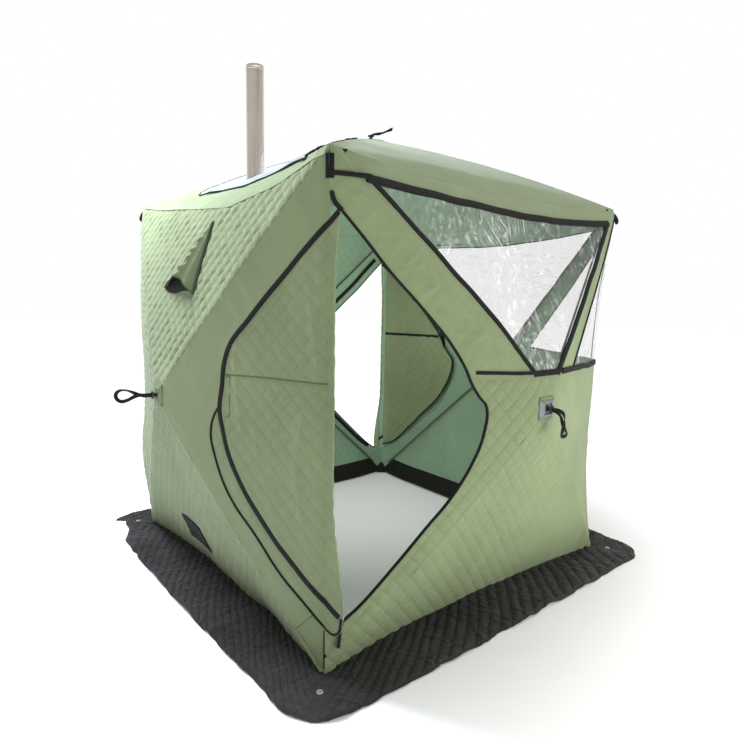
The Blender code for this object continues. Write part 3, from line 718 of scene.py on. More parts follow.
def cut_sheet(face, side, cuts, keep, extra=None):
    """Panel points and triangles with the cut lines (in x, y metres on the face)
    as edges. Keep says which triangle centres stay."""
    X, Y = pq_to_XY(side, GRID_PQ[:, 0], GRID_PQ[:, 1])
    P = np.stack([X * face.hx, Y * face.hy], 1)
    if extra is not None:
        P = np.concatenate([P, extra])
    near = line_distance(P, cuts)
    edge = np.zeros(len(P), bool)
    edge[: len(X)] = (
        (GRID_PQ[:, 0] < 1e-9) | (GRID_PQ[:, 1] < 1e-9) | (GRID_PQ.sum(1) > 2 - 1e-6)
    )
    P = P[(near > 0.0026) | (edge & (near > 0.0004))]
    verts = [Vector(p) for p in P]
    lines = []
    for line in cuts:
        k = len(verts)
        verts += [Vector(p) for p in line]
        lines += [(k + i, k + i + 1) for i in range(len(line) - 1)]
    V, _, F, *_ = delaunay_2d_cdt(verts, lines, [], 0, 1e-6)
    V = np.array([tuple(v) for v in V])
    F = np.array([f for f in F if len(f) == 3])
    C = V[F].mean(1)
    ok = keep(C)
    a = V[F[:, 1]] - V[F[:, 0]]
    b = V[F[:, 2]] - V[F[:, 0]]
    turn = a[:, 0] * b[:, 1] - a[:, 1] * b[:, 0]
    ok &= np.abs(turn) > 1e-9
    F = F[ok]
    F[turn[ok] < 0] = F[turn[ok] < 0][:, ::-1]
    used = np.unique(F)
    back = -np.ones(len(V), int)
    back[used] = np.arange(len(used))
    V, F = V[used], back[F]
    return V[:, 0] / face.hx, V[:, 1] / face.hy, F


def in_panel(face, side, C, pad=0.0):
    p, q = XY_to_pq(side, C[:, 0] / face.hx, C[:, 1] / face.hy)
    return (p > -pad) & (q > -pad) & (p + q < 2 + pad)


def puff_at(p, q):
    tp, tq = p / CELL, q / CELL
    a, b = tp - np.floor(tp), tq - np.floor(tq)
    f = np.sqrt(np.clip(4 * a * (1 - a), 0, 1)) * np.sqrt(np.clip(4 * b * (1 - b), 0, 1))
    i, j = np.floor(tp).astype(np.int64), np.floor(tq).astype(np.int64)
    uneven = 1 + 0.22 * _hash(i, j, np.int64(7))
    return f**0.75 * uneven


PANELS = {}
# Hem along the top of two walls: its lower edge as (y, z).
HEM_LOW = {
    "left": [(-0.9, 1.815), (-0.846, 1.804), (-0.77, 1.787), (-0.70, 1.768), (-0.60, 1.748), (-0.45, 1.735),
             (-0.25, 1.712), (-0.15, 1.722), (0.10, 1.750), (0.36, 1.783), (0.62, 1.806), (0.82, 1.825), (0.9, 1.832)],
    "rear_left": [(-0.9, 1.82), (-0.6, 1.765), (-0.2, 1.735), (0.2, 1.735), (0.6, 1.765), (0.9, 1.82)],
}
LOW_VENT = [(0.046, 0.266), (0.240, 0.279), (0.264, 0.143), (0.019, 0.139)]  # (y, z) on the left wall
HOOD_FOOT = [(-0.150, 1.672), (0.201, 1.386), (0.141, 1.366), (-0.152, 1.352)]


def flattened(face, side, Q2, P):
    """Share of the quilting's height that is left where something lies on it."""
    label = face.label(side)
    reach = 0.058 if face.name == "roof" else 0.052
    near = smooth(reach, reach + 0.014, np.max(np.abs(Q2), axis=1))
    if label == "top" and face.name in HEM_LOW:
        along = P[:, 1] if face.name == "left" else P[:, 0]
        near = near * smooth(0.002, -0.012, P[:, 2] - np.interp(along, *np.array(HEM_LOW[face.name]).T))
    if face.name == "left" and label in ("bottom", "top"):
        poly = np.array([(-y, z - HUB_Z) for y, z in (LOW_VENT if label == "bottom" else HOOD_FOOT)])
        d = line_distance(Q2, [np.concatenate([poly, poly[:1]])])
        near = near * np.where(in_polygon(Q2, poly), 0.0, smooth(0.004, 0.018, d))
    return near


def make_panel(name, face, side, X, Y, T, quilt, wrinkle, cuts=(), looks=("quilt", "inside"),
               replaces=(), band=False, puff=0.0040, held="stretched", flat=None, skip_tip=True):
    """One fabric panel of a face, as a closed sheet with its quilting or folds."""
    p, q = XY_to_pq(side, X, Y)
    if skip_tip:
        mid = ((p + q) / 2)[T].mean(1)
        T = T[mid > 0.0125]
        used = np.unique(T)
        back = -np.ones(len(X), int)
        back[used] = np.arange(len(used))
        X, Y, p, q, T = X[used], Y[used], p[used], q[used], back[T]
    P = face.at(side, X, Y)
    Q2 = np.stack([X * face.hx, Y * face.hy], 1)
    mask = quilt(X, Y, P)
    near = smooth(0.003, 0.020, line_distance(Q2, cuts)) if len(cuts) else np.ones(len(X))
    near = near * flattened(face, side, Q2, P)
    ridge = np.minimum(p, q) * 0.64
    border = smooth(0.0, 0.03, ridge) * smooth(0.0, 0.03, np.abs(2 - p - q) * 0.47)
    N = point_normals(P, T)
    w = wrinkle(X * face.hx, Y * face.hy, P) * border
    if len(cuts):
        w = w * (0.12 + 0.88 * smooth(0.0, 0.045, line_distance(Q2, cuts)))
    P = P + N * w[:, None]
    up = puff * puff_at(p, q) * mask * near
    # The lattice's third value sets how dark the stitched lines are drawn: thread plus painted valley shade.
    lat = np.stack([p / CELL, q / CELL, mask], 1)
    inner = None
    if band:
        rho = ((p + q) / 2)[T].mean(1)
        inner = np.where(rho > 1 - 1.5 * CELL, 2, 1)
        looks = (*looks, "binding")
    ob = shell(name, P, T, 0.0012 + up, 0.0022 + 0.45 * up, looks, inner, lat)
    area = area_of(P, T)
    start, end = face.blend_line(side)
    face.body(side)
    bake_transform(ob)
    if replaces:
        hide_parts(*replaces)
    PANELS[face.name, face.label(side)] = ob
    return ob, area


TRIMS = {}


def trim_of(face, side, ob):
    """A trim sewn to a panel, baked in place and listed under that panel."""
    start, end = face.blend_line(side)
    face.body(side)
    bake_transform(ob)
    TRIMS.setdefault((face.name, face.label(side)), []).append(ob)
    return ob


def ribbon(name, face, side, path, width, look, lift=0.0040, thick=0.0018, sink=0.0012,
           raise_by=None, rows=5, cap=True, wander=0.0):
    """A flat tape that follows a path given in metres on the face."""
    p = np.asarray(path, float)
    t = np.gradient(p, axis=0)
    t /= np.maximum(np.linalg.norm(t, axis=1, keepdims=True), 1e-9)
    perp = np.stack([-t[:, 1], t[:, 0]], 1)
    ks = np.linspace(-1, 1, rows)
    if wander:
        s = np.concatenate([[0], np.cumsum(np.linalg.norm(np.diff(p, axis=0), axis=1))])
        p = p + perp * (wander * noise(s * 9.0, 0.1, 31))[:, None]
    ring = []
    for k in ks:
        ring.append((k, lift + thick * (1 - 0.55 * abs(k) ** 3)))
    for k in ks[::-1]:
        ring.append((k, -sink))
    V = []
    for k, h in ring:
        q = p + perp * (k * width / 2)
        X, Y = q[:, 0] / face.hx, q[:, 1] / face.hy
        hh = h if raise_by is None or h < 0 else h + raise_by
        V.append(face.at(side, X, Y) + face.normal(side, X, Y) * np.reshape(hh, (-1, 1)))
    V = np.stack(V, 1)  # along, around, xyz
    n, m = V.shape[:2]
    F = []
    i = np.arange(n - 1)[:, None] * m
    j = np.arange(m)[None]
    k = (np.arange(m)[None] + 1) % m
    F = np.stack([i + j, i + k, i + k + m, i + j + m], -1).reshape(-1, 4)
    tris = []
    for base, flip in ((0, True), ((n - 1) * m, False)):
        for a in range(rows - 1):
            quad = [base + a, base + a + 1, base + m - 2 - a, base + m - 1 - a]
            tris.append(quad[::-1] if not flip else quad)
    F = np.concatenate([F, np.array(tris)])
    s = np.concatenate([[0], np.cumsum(np.linalg.norm(np.diff(p, axis=0), axis=1))])
    lat = np.zeros((n, m, 3))
    lat[:, :, 0] = s[:, None] / 0.05
    lat[:, :, 1] = np.array([k * width / 2 / 0.05 for k, _ in ring])[None]
    flat = V.reshape(-1, 3)
    # Faces outwards whichever way the path runs.
    c = flat.mean(0)
    a, b, d = flat[F[:, 0]], flat[F[:, 1]], flat[F[:, 2]]
    vol = (np.einsum("ij,ij->i", a - c, np.cross(b - c, d - c))).sum()
    if vol < 0:
        F = F[:, ::-1]
    me = mesh_from(name, flat, F, None, lat.reshape(-1, 3), 50)
    fix_normals(me)
    return add(name, me, look)


def fix_normals(me):
    bm = bmesh.new()
    bm.from_mesh(me)
    bmesh.ops.recalc_face_normals(bm, faces=bm.faces[:])
    bm.to_mesh(me)
    bm.free()


def tube(name, path, radius, look, sides=8, closed=False):
    """A round cord or piping along a path."""
    p = np.asarray(path, float)
    n = len(p)
    t = np.gradient(p, axis=0)
    if closed:
        t = np.roll(p, -1, 0) - np.roll(p, 1, 0)
    t /= np.maximum(np.linalg.norm(t, axis=1, keepdims=True), 1e-9)
    ref = np.array([0, 0, 1.0]) if abs(t[0][2]) < 0.9 else np.array([1.0, 0, 0])
    side = np.cross(t[0], ref)
    frames = []
    for k in range(n):
        side = side - t[k] * (side @ t[k])
        side /= np.linalg.norm(side)
        frames.append((side, np.cross(t[k], side)))
    r = np.broadcast_to(np.asarray(radius, float), (n,))
    a = np.linspace(0, 2 * math.pi, sides, endpoint=False)
    V = np.array(
        [
            [p[k] + r[k] * (math.cos(x) * frames[k][0] + math.sin(x) * frames[k][1]) for x in a]
            for k in range(n)
        ]
    ).reshape(-1, 3)
    F = []
    last = n if closed else n - 1
    for k in range(last):
        for j in range(sides):
            j2, k2 = (j + 1) % sides, (k + 1) % n
            F.append((k * sides + j, k * sides + j2, k2 * sides + j2, k2 * sides + j))
    lists = [np.array(F)]
    if not closed:
        lists.append(np.array([list(range(sides))[::-1], list(range((n - 1) * sides, n * sides))]))
    me = mesh_from(name, V, lists, None, V / 0.05, 50)
    fix_normals(me)
    return add(name, me, look)


def sweep_webbing(path, width, thick, twist=None, normal_hint=(0, 0, 1)):
    """Vertices and faces of a flat tape along a free path in space."""
    p = np.asarray(path, float)
    n = len(p)
    t = np.gradient(p, axis=0)
    t /= np.maximum(np.linalg.norm(t, axis=1, keepdims=True), 1e-9)
    side = np.cross(np.array(normal_hint, float), t[0])
    V = []
    prof = [(-1, 1), (-0.5, 1.25), (0, 1.3), (0.5, 1.25), (1, 1), (1, -1), (0.5, -1.25), (0, -1.3), (-0.5, -1.25), (-1, -1)]
    for k in range(n):
        side = side - t[k] * (side @ t[k])
        side /= np.linalg.norm(side)
        up = np.cross(t[k], side)
        a = 0.0 if twist is None else twist[k]
        s2 = side * math.cos(a) + up * math.sin(a)
        u2 = -side * math.sin(a) + up * math.cos(a)
        for x, y in prof:
            V.append(p[k] + s2 * (x * width / 2) + u2 * (y * thick / 2))
    m = len(prof)
    F = [
        (k * m + j, k * m + (j + 1) % m, (k + 1) * m + (j + 1) % m, (k + 1) * m + j)
        for k in range(n - 1)
        for j in range(m)
    ]
    ends = [list(range(m))[::-1], list(range((n - 1) * m, n * m))]
    return np.array(V), F, ends


def grid_sheet(name, P, out, inn, looks, lattice=None, normals=None, drop=None, flip=False, sharp=60):
    """A closed cloth over a rectangular grid of points (rows, columns, 3)."""
    r, c = P.shape[:2]
    i, j = np.meshgrid(np.arange(r - 1), np.arange(c - 1), indexing="ij")
    a = (i * c + j).ravel()
    T = np.concatenate([np.stack([a, a + 1, a + c + 1], 1), np.stack([a, a + c + 1, a + c], 1)])
    if flip:
        T = T[:, ::-1]
    flat = P.reshape(-1, 3)
    if drop is not None:
        T = T[~drop.ravel()[T].any(1)]
    used = np.unique(T)
    back = -np.ones(len(flat), int)
    back[used] = np.arange(len(used))
    T = back[T]
    pick = lambda v: np.broadcast_to(np.asarray(v, float), (r, c)).ravel()[used]
    lat = None if lattice is None else lattice.reshape(-1, 3)[used]
    nrm = None if normals is None else normals.reshape(-1, 3)[used]
    ob = shell(name, flat[used], T, pick(out), pick(inn), looks, None, lat, nrm, sharp)
    return ob, area_of(flat[used], T)


M["dark_green"] = fabric("rolled_edge_green", (70, 88, 62), vary=0.1)
M["mesh_green"] = fabric("mesh_dark_green", (46, 54, 42), rough=0.85, vary=0.15, sheen=0.04)
M["stitch"] = fabric("seam_green", (84, 97, 67), vary=0.1)


def declare(flat, area=None):
    w, l = flat
    if area is not None:
        area = max(0.301 * w * l, min(area, 1.0 * w * l))


# ================================================================= wall fabric
def all_quilt(X, Y, P):
    return np.ones(len(X))


def no_quilt(X, Y, P):
    return np.zeros(len(X))


def low_quilt(X, Y, P):
    return smooth(1.058, 1.044, P[:, 2])


def corner_quilt(X, Y, P):
    return smooth(1.034, 1.018, P[:, 2])


def fading_quilt(X, Y, P):
    """Quilting that is worn flat towards the corner with the corner window."""
    along = np.where(P[:, 1] < -0.5, P[:, 0], P[:, 1])
    m = 1 - 0.80 * smooth(-0.15, 0.50, along)
    return m * smooth(1.058, 1.044, P[:, 2])


def faint_quilt(X, Y, P):
    along = np.where(P[:, 1] < -0.5, P[:, 0], P[:, 1])
    return 0.22 * smooth(1.034, 1.018, P[:, 2]) * (1 - 0.7 * smooth(0.6, 0.85, along))


def half_quilt(X, Y, P):
    return np.full(len(X), 1.0)


def taut(seed, k=1.0):
    def w(x, y, P):
        return k * (0.0045 * fbm(x * 2.6, y * 2.6, seed) + 0.0018 * (folds(x, y, 0.8, 0.5, 0.09, seed) - 0.45))

    return w


def pleated(seed, base):
    """Adds upright creases towards the foot of the outer corner."""
    def w(x, y, P):
        along = np.where(P[:, 1] < -0.5, P[:, 0], P[:, 1])
        k = smooth(0.42, 0.78, along) * smooth(0.85, 0.30, P[:, 2])
        return base(x, y, P) + 0.0080 * (folds(along, P[:, 2], 1.50, 0.45, 0.040, seed + 5, 2.6) - 0.4) * k

    return w


def streaked(seed, base):
    """Adds fine creases along the band beside the doorway."""
    def w(x, y, P):
        k = smooth(1.05, 1.16, P[:, 2])
        a = 0.0038 * (folds(x, y, 0.86, 0.42, 0.030, seed + 6, 3) - 0.4) + 0.0022 * (folds(x, y, 0.55, 0.20, 0.020, seed + 7, 3) - 0.4)
        return base(x, y, P) + a * k

    return w


def slack(seed, angle, k=1.0, above=None):
    """Plain cloth with longer folds along one direction."""

    def w(x, y, P):
        a = 0.0065 * fbm(x * 2.2, y * 2.2, seed)
        b = 0.0060 * (folds(x, y, angle, 0.55, 0.085, seed + 1) - 0.4)
        c = 0.0032 * (folds(x, y, angle + 0.55, 0.22, 0.045, seed + 2) - 0.4)
        m = 1.0 if above is None else 0.35 + 0.65 * smooth(1.05, 1.12, P[:, 2])
        w_ = k * (a + (b + c) * m)
        if above is not None:
            w_ = w_ * (1 - 0.85 * np.exp(-(((P[:, 2] - 1.066) / 0.022) ** 2)))
        return w_

    return w


def door_xy(face, d, z):
    """Distance from the door's corner and height, as metres on the face."""
    s = 1 if SIDE_NAMES[face.name].get("xmax") == "door" else -1
    return np.stack([s * (HALF - np.asarray(d, float)), np.asarray(z, float) - HUB_Z], -1)


def corner_xy(face, d, z):
    s = 1 if SIDE_NAMES[face.name].get("xmax") == "corner" else -1
    return np.stack([s * (HALF - np.asarray(d, float)), np.asarray(z, float) - HUB_Z], -1)


def wall_xy(face, x, z):
    """Place on a wall with a window: x from the middle towards the corner with
    the corner windows."""
    s = 1 if SIDE_NAMES[face.name].get("xmax") == "corner" else -1
    return np.stack([s * np.asarray(x, float), np.asarray(z, float) - HUB_Z], -1)


def side_of(face, label):
    for s in SIDES:
        if face.label(s) == label:
            return s
    return label


FLAP_LINE = [(-0.040, 1.630), (0.037, 1.562), (0.110, 1.493), (0.185, 1.420), (0.267, 1.343), (0.348, 1.262), (0.434, 1.176),
             (0.472, 1.098), (0.489, 1.003), (0.503, 0.925), (0.528, 0.888), (0.542, 0.858), (0.549, 0.791), (0.527, 0.722),
             (0.499, 0.654), (0.459, 0.589), (0.405, 0.528), (0.339, 0.472), (0.281, 0.416), (0.228, 0.360), (0.167, 0.307),
             (0.099, 0.259), (0.036, 0.211), (0.012, 0.193)]
# The zip runs on round the rounded foot of the closed half.
FLAP_FOOT = [(0.012, 0.193), (-0.006, 0.182), (-0.025, 0.173), (-0.045, 0.174), (-0.060, 0.190), (-0.067, 0.215), (-0.068, 0.240)]
TAPE_LINE = [(-0.038, 1.628), (0.037, 1.562), (0.110, 1.493), (0.185, 1.420), (0.267, 1.343), (0.348, 1.262), (0.434, 1.176),
             (0.470, 1.098), (0.485, 1.003), (0.499, 0.915), (0.481, 0.830), (0.453, 0.747), (0.409, 0.668), (0.353, 0.592),
             (0.287, 0.521), (0.217, 0.453), (0.141, 0.389), (0.064, 0.328), (-0.021, 0.268), (-0.060, 0.243)]
OPEN_LINE = [(0.030, 1.645), (0.079, 1.591), (0.124, 1.540), (0.209, 1.441), (0.317, 1.332), (0.423, 1.219), (0.469, 1.160),
             (0.509, 1.099), (0.539, 1.038), (0.575, 0.987), (0.602, 0.957), (0.610, 0.920), (0.604, 0.870), (0.586, 0.804),
             (0.550, 0.729), (0.505, 0.658), (0.446, 0.584), (0.379, 0.516), (0.252, 0.380), (0.124, 0.249), (0.062, 0.200)]
flap_line = spline(FLAP_LINE, 0.008)
tape_line = spline(TAPE_LINE, 0.008)
open_line = spline(OPEN_LINE, 0.008)

WINDOW = [(-0.745, 1.740), (-0.30, 1.727), (0.18, 1.716), (0.55, 1.731), (0.800, 1.752), (0.155, 1.112),
          (0.103, 1.067), (-0.047, 1.067), (-0.237, 1.272)]
CORNER_WINDOW = [(-0.012, 1.800), (0.004, 1.783), (0.250, 1.472), (0.499, 1.190), (0.606, 1.070), (-0.012, 1.060)]

trims = {}


def panel_outline_ok(face, side):
    return lambda C: in_panel(face, side, C, 1e-5)


areas = {}
for name, face in FACES.items():
    for side in SIDES:
        label = face.label(side)
        node = f"panel_{name}_{label}"
        piece = f"cloth_{name}_{label}"
        seed = 40 + 7 * list(FACES).index(name) + SIDES.index(side)
        X, Y = pq_to_XY(side, GRID_PQ[:, 0], GRID_PQ[:, 1])
        T = wound(face, side, X, Y, GRID_T)
        ridge_angle = -0.79
        look = ("quilt", "inside")
        if name == "roof":
            quilt, wr, look = no_quilt, taut(seed, 1.25), ("plain", "inside_plain")
            if label == "left":
                P = face.at(side, X, Y)
                near = np.hypot(P[:, 0] - PIPE_X, P[:, 1] - PIPE_Y)
                T = T[near[T].max(1) > 0.060]
            ob, A = make_panel(piece, face, side, X, Y, T, quilt, wr, looks=look, replaces=(node,))
        elif label == "door":
            fixed = name in ("left", "rear_right")
            line = flap_line if fixed else open_line
            cut = door_xy(face, line[:, 0], line[:, 1])
            d_far = door_xy(face, [-0.05], [1.70])[0]
            if fixed:
                ring = np.concatenate([door_xy(face, [-0.05, -0.05], [0.17, 1.64]), cut])
            else:
                ring = np.concatenate([door_xy(face, [-0.05, -0.05], [0.195, 1.665]), cut])
            X2, Y2, T2 = cut_sheet(
                face, side, [cut], lambda C: in_panel(face, side, C, 1e-5) & ~in_polygon(C, ring)
            )
            if name == "left" or name == "rear_right":
                quilt = no_quilt
                wr = slack(seed, -0.9, 0.55)
                look = ("plain", "inside_plain")
            elif name == "right":
                quilt, wr = low_quilt, streaked(seed, slack(seed, ridge_angle, 1.0, 1))
            else:
                quilt, wr = all_quilt, taut(seed)
            if name == "rear_right":
                quilt, wr = no_quilt, slack(seed, -0.9, 0.6)
            ob, A = make_panel(piece, face, side, X2, Y2, T2, quilt, wr, cuts=[cut], looks=look, replaces=(node,))
        elif name in ("right", "rear_right") and label == "top":
            hole = wall_xy(face, *np.array(WINDOW).T)
            line = dense(hole, 0.008, closed=True)
            X2, Y2, T2 = cut_sheet(
                face, side, [line], lambda C: in_panel(face, side, C, 1e-5) & ~in_polygon(C, hole)
            )
            ob, A = make_panel(
                piece, face, side, X2, Y2, T2, low_quilt, slack(seed, 0.05, 0.7, 1), cuts=[line], replaces=(node,)
            )
        elif name in ("right", "rear_right") and label == "corner":
            hole = corner_xy(face, *np.array(CORNER_WINDOW).T)
            line = dense(hole, 0.008, closed=True)
            X2, Y2, T2 = cut_sheet(
                face, side, [line], lambda C: in_panel(face, side, C, 1e-5) & ~in_polygon(C, hole)
            )
            ob, A = make_panel(
                piece, face, side, X2, Y2, T2, faint_quilt, pleated(seed, slack(seed, 0.79, 0.7, 1)), cuts=[line], replaces=(node,)
            )
        else:
            quilt, tall, wr = all_quilt, 0.0042, taut(seed)
            if label == "bottom":
                quilt = half_quilt if name in ("left", "rear_left") else fading_quilt
                wr = taut(seed) if name in ("left", "rear_left") else pleated(seed, taut(seed))
            elif name in ("left", "rear_left"):
                tall = 0.0058
            ob, A = make_panel(
                piece, face, side, X, Y, T, quilt, wr, looks=look, replaces=(node,), band=label == "bottom", puff=tall
            )
        areas[name, label] = A


# --------------------------------------------------------------- door flaps
def flap_point(face, d, z, edge, back_gap=0.006):
    """Mid surface of a closed flap half; past its free fold edge the cloth turns
    back on itself."""
    r = back_gap / 2
    over = np.maximum(-d - edge, 0)
    turn = np.minimum(over, math.pi * r) / r
    back = np.maximum(over - math.pi * r, 0)
    dd = np.where(over > 0, -edge + back, d)
    out = r * np.sin(turn)
    drop = r * (1 - np.cos(turn))
    side = side_of(face, "door")
    xy = door_xy(face, dd - out, z)
    X, Y = xy[..., 0] / face.hx, xy[..., 1] / face.hy
    e = door_xy(face, np.maximum(dd, 0.006), z)
    N = face.normal(side, e[..., 0] / face.hx, e[..., 1] / face.hy)
    return face.at(side, X, Y) - N * drop[..., None], N


def edge_past_corner(z):
    """How far the fold edge stands past the corner seam."""
    return 0.0205 + 0.012 * smooth(1.35, 1.64, z) + 0.048 * smooth(0.66, 0.24, z) + 0.003 * noise(z * 4.0, 0.5, 3)


def flap_wave(D, Z, near):
    """Waves of the closed half, with a soft vertical one down the free edge."""
    w = 0.0040 * fbm(D * 3.0, Z * 2.0, 71) + 0.004 * (folds(D, Z, 1.45, 0.6, 0.10, 72) - 0.4)
    return w * near + 0.004 * noise(Z * 2.3, D * 1.5, 74) * smooth(0.16, 0.0, D)


FOLD_TAPES = []
FLAP_SEAM = spline([(0.475, 1.052), (0.30, 1.058), (0.12, 1.060), (0.0, 1.060)], 0.01)
for door, fixed_wall, swing_wall in (("front", "left", "right"), ("rear", "rear_right", "rear_left")):
    face = FACES[fixed_wall]
    side = side_of(face, "door")
    # The closed half.
    zs = np.linspace(0.1935, 1.618, 190)
    order = np.argsort(flap_line[:, 1])
    reach = np.interp(zs, flap_line[order, 1], flap_line[order, 0]) - 0.004
    edge = edge_past_corner(zs)
    cols = 112
    f = np.linspace(0, 1, cols)
    start = -(edge + math.pi * 0.003 + np.maximum(edge - 0.030, 0.0015))
    # Columns crowd at the fold.
    D = start[:, None] + (np.maximum(reach, -0.030)[:, None] - start[:, None]) * (f[None] ** 1.25)
    # Its foot is rounded.
    foot = np.array(FLAP_FOOT)[::-1]
    Dm = np.where(D < -edge[:, None], -2 * edge[:, None] - D, D)
    zb = np.interp(np.maximum(Dm, -0.0655), foot[:, 0], foot[:, 1])
    Z = np.broadcast_to(zs[:, None], D.shape)
    Z = np.where(Z < 0.40, zb + (Z - 0.1935) * (0.40 - zb) / (0.40 - 0.1935), Z)
    P, N = flap_point(face, D, Z, edge[:, None])
    xy = door_xy(face, D, Z)
    p, q = XY_to_pq(side, xy[..., 0] / face.hx, xy[..., 1] / face.hy)
    flatd = D.ravel()
    pts = np.stack([D.ravel(), Z.ravel()], 1)
    near = smooth(0.002, 0.018, line_distance(pts, [flap_line])).reshape(D.shape)
    flat_ = near * smooth(0.009, 0.022, line_distance(pts, [tape_line])).reshape(D.shape)
    flat_ = flat_ * smooth(0.002, 0.012, line_distance(pts, [FLAP_SEAM])).reshape(D.shape)
    up = 0.0034 * puff_at(p, q) * flat_ * smooth(-0.02, 0.0, D + edge[:, None])
    w = flap_wave(D, Z, near)
    sgn = np.where(D < -edge[:, None] - 0.0094, -1.0, 1.0)
    P = P + N * (w * np.where(sgn > 0, 1, 1))[..., None]
    lat = np.stack([p / CELL, q / CELL, np.full_like(p, 0.42)], -1)
    flipped = True
    ob, A = grid_sheet(f"flap_{door}_closed", P, 0.0010 + up, 0.0014 + 0.3 * up, ("quilt", "inside"), lat, flip=flipped)
    s0, s1 = face.blend_line(side)
    face.body(side)
    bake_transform(ob)
    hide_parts(f"door_{door}_fixed_half")
    areas["flap", door] = A
    # The half that is folded back behind it.
    curve = spline([(0.0, 1.598), (0.105, 1.520), (0.190, 1.430), (0.297, 1.323), (0.402, 1.211), (0.449, 1.152), (0.488, 1.093),
                    (0.516, 1.036), (0.552, 0.983), (0.577, 0.952), (0.584, 0.918), (0.578, 0.872), (0.562, 0.810), (0.528, 0.738),
                    (0.484, 0.668), (0.427, 0.597), (0.360, 0.530), (0.236, 0.396), (0.108, 0.268), (0.0, 0.226)], 0.008)
    zs = np.linspace(0.228, 1.596, 170)
    order = np.argsort(curve[:, 1])
    reach = np.interp(zs, curve[order, 1], curve[order, 0])
    cols = 80
    f = np.linspace(0, 1, cols)
    D = 0.010 + (np.maximum(reach - 0.010, 0.001)[:, None]) * f[None]
    Z = np.broadcast_to(zs[:, None], D.shape)
    xy = door_xy(face, D, Z)
    X, Y = xy[..., 0] / face.hx, xy[..., 1] / face.hy
    N = face.normal(side, X, Y)
    depth = 0.0045 + 0.0075 * smooth(0.010, 0.06, D) + D * math.tan(math.radians(4.0))
    above = smooth(1.090, 1.110, Z)
    w = (0.010 * (folds(D, Z, 1.4, 0.7, 0.13, 77) - 0.3) + 0.005 * fbm(D * 3, Z * 2, 78)) * smooth(0.02, 0.22, D)
    w = w + 0.0060 * (folds(D, Z, 1.54, 0.6, 0.040, 79, 3) - 0.4) * smooth(0.015, 0.07, D) * (0.25 + 0.75 * above)
    P = face.at(side, X, Y) - N * (depth + np.maximum(w, -0.004))[..., None]
    p, q = XY_to_pq(side, X, Y)
    up = 0.0055 * puff_at(p, q) * smooth(0.0, 0.02, np.maximum(reach, 0.0)[:, None] - D) * smooth(0.012, 0.04, D) * (1 - above)
    lat = np.stack([p / CELL, q / CELL, 1 - above], -1)
    ob, A = grid_sheet(f"flap_{door}_folded", P, 0.0012 + 0.4 * up, 0.0012 + up, ("inside", "quilt"), lat, flip=True)
    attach(ob, f"door_{door}_swing_body")
    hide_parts(f"door_{door}_swing_half")
    areas["fold", door] = A
    # A taped seam across its inner side, and a tape round its edge.
    i_ = int(np.argmin(np.abs(zs - 1.099)))
    k_ = D[i_] < reach[i_] - 0.006
    FOLD_TAPES.append((f"fold_seam_{door}", f"door_{door}_swing_body", P[i_][k_], -N[i_][k_], 0.019))
    FOLD_TAPES.append((f"fold_edge_{door}", f"door_{door}_swing_body", P[:, -1], -N[:, -1], 0.009))

# ------------------------------------------------------------ tapes and zips
def on_flap(line):
    """Height of the closed half's waves along a line of (d, z)."""
    near = smooth(0.002, 0.018, line_distance(line, [flap_line]))
    return flap_wave(line[:, 0], line[:, 1], near)


for wall in ("left", "rear_right"):
    face = FACES[wall]
    side = side_of(face, "door")
    tape = tape_line
    trim_of(face, side, ribbon(f"door_tape_{wall}", face, side, door_xy(face, tape[:, 0], tape[:, 1]), 0.0182, "binding", lift=0.0036, thick=0.0022, sink=0.0002, raise_by=on_flap(tape)))
    z = np.concatenate([flap_line[(flap_line[:, 1] < 0.925) & (flap_line[:, 1] > 0.195)], spline(FLAP_FOOT, 0.006)])
    z = spline(z[::6].tolist() + [z[-1].tolist()], 0.006)
    trim_of(face, side, ribbon(f"zip_line_{wall}", face, side, door_xy(face, z[:, 0], z[:, 1]), 0.0076, "binding", lift=0.0042, thick=0.0024, raise_by=on_flap(z)))
    # The tape's inner side, seen from within.
    inner = tape_line[tape_line[:, 0] > 0.012]
    trim_of(face, side, ribbon(f"inner_tape_{wall}", face, side, door_xy(face, inner[:, 0] + 0.012, inner[:, 1]), 0.020, "binding", lift=-0.0088, thick=0.0020, sink=0.0094))
    # Seams across the flap and round a stitched pocket.
    seam = FLAP_SEAM
    trim_of(face, side, ribbon(f"flap_seam_{wall}", face, side, door_xy(face, seam[:, 0], seam[:, 1]), 0.0040, "stitch", lift=0.0030, thick=0.0006, sink=0.0, raise_by=on_flap(seam)))
    box = dense([(0.466, 1.046), (0.440, 1.046), (0.447, 0.892), (0.470, 0.888)], 0.008)
    trim_of(face, side, ribbon(f"flap_pocket_{wall}", face, side, door_xy(face, box[:, 0], box[:, 1]), 0.0028, "stitch", lift=0.0040, thick=0.0006, sink=0.0, raise_by=on_flap(box)))
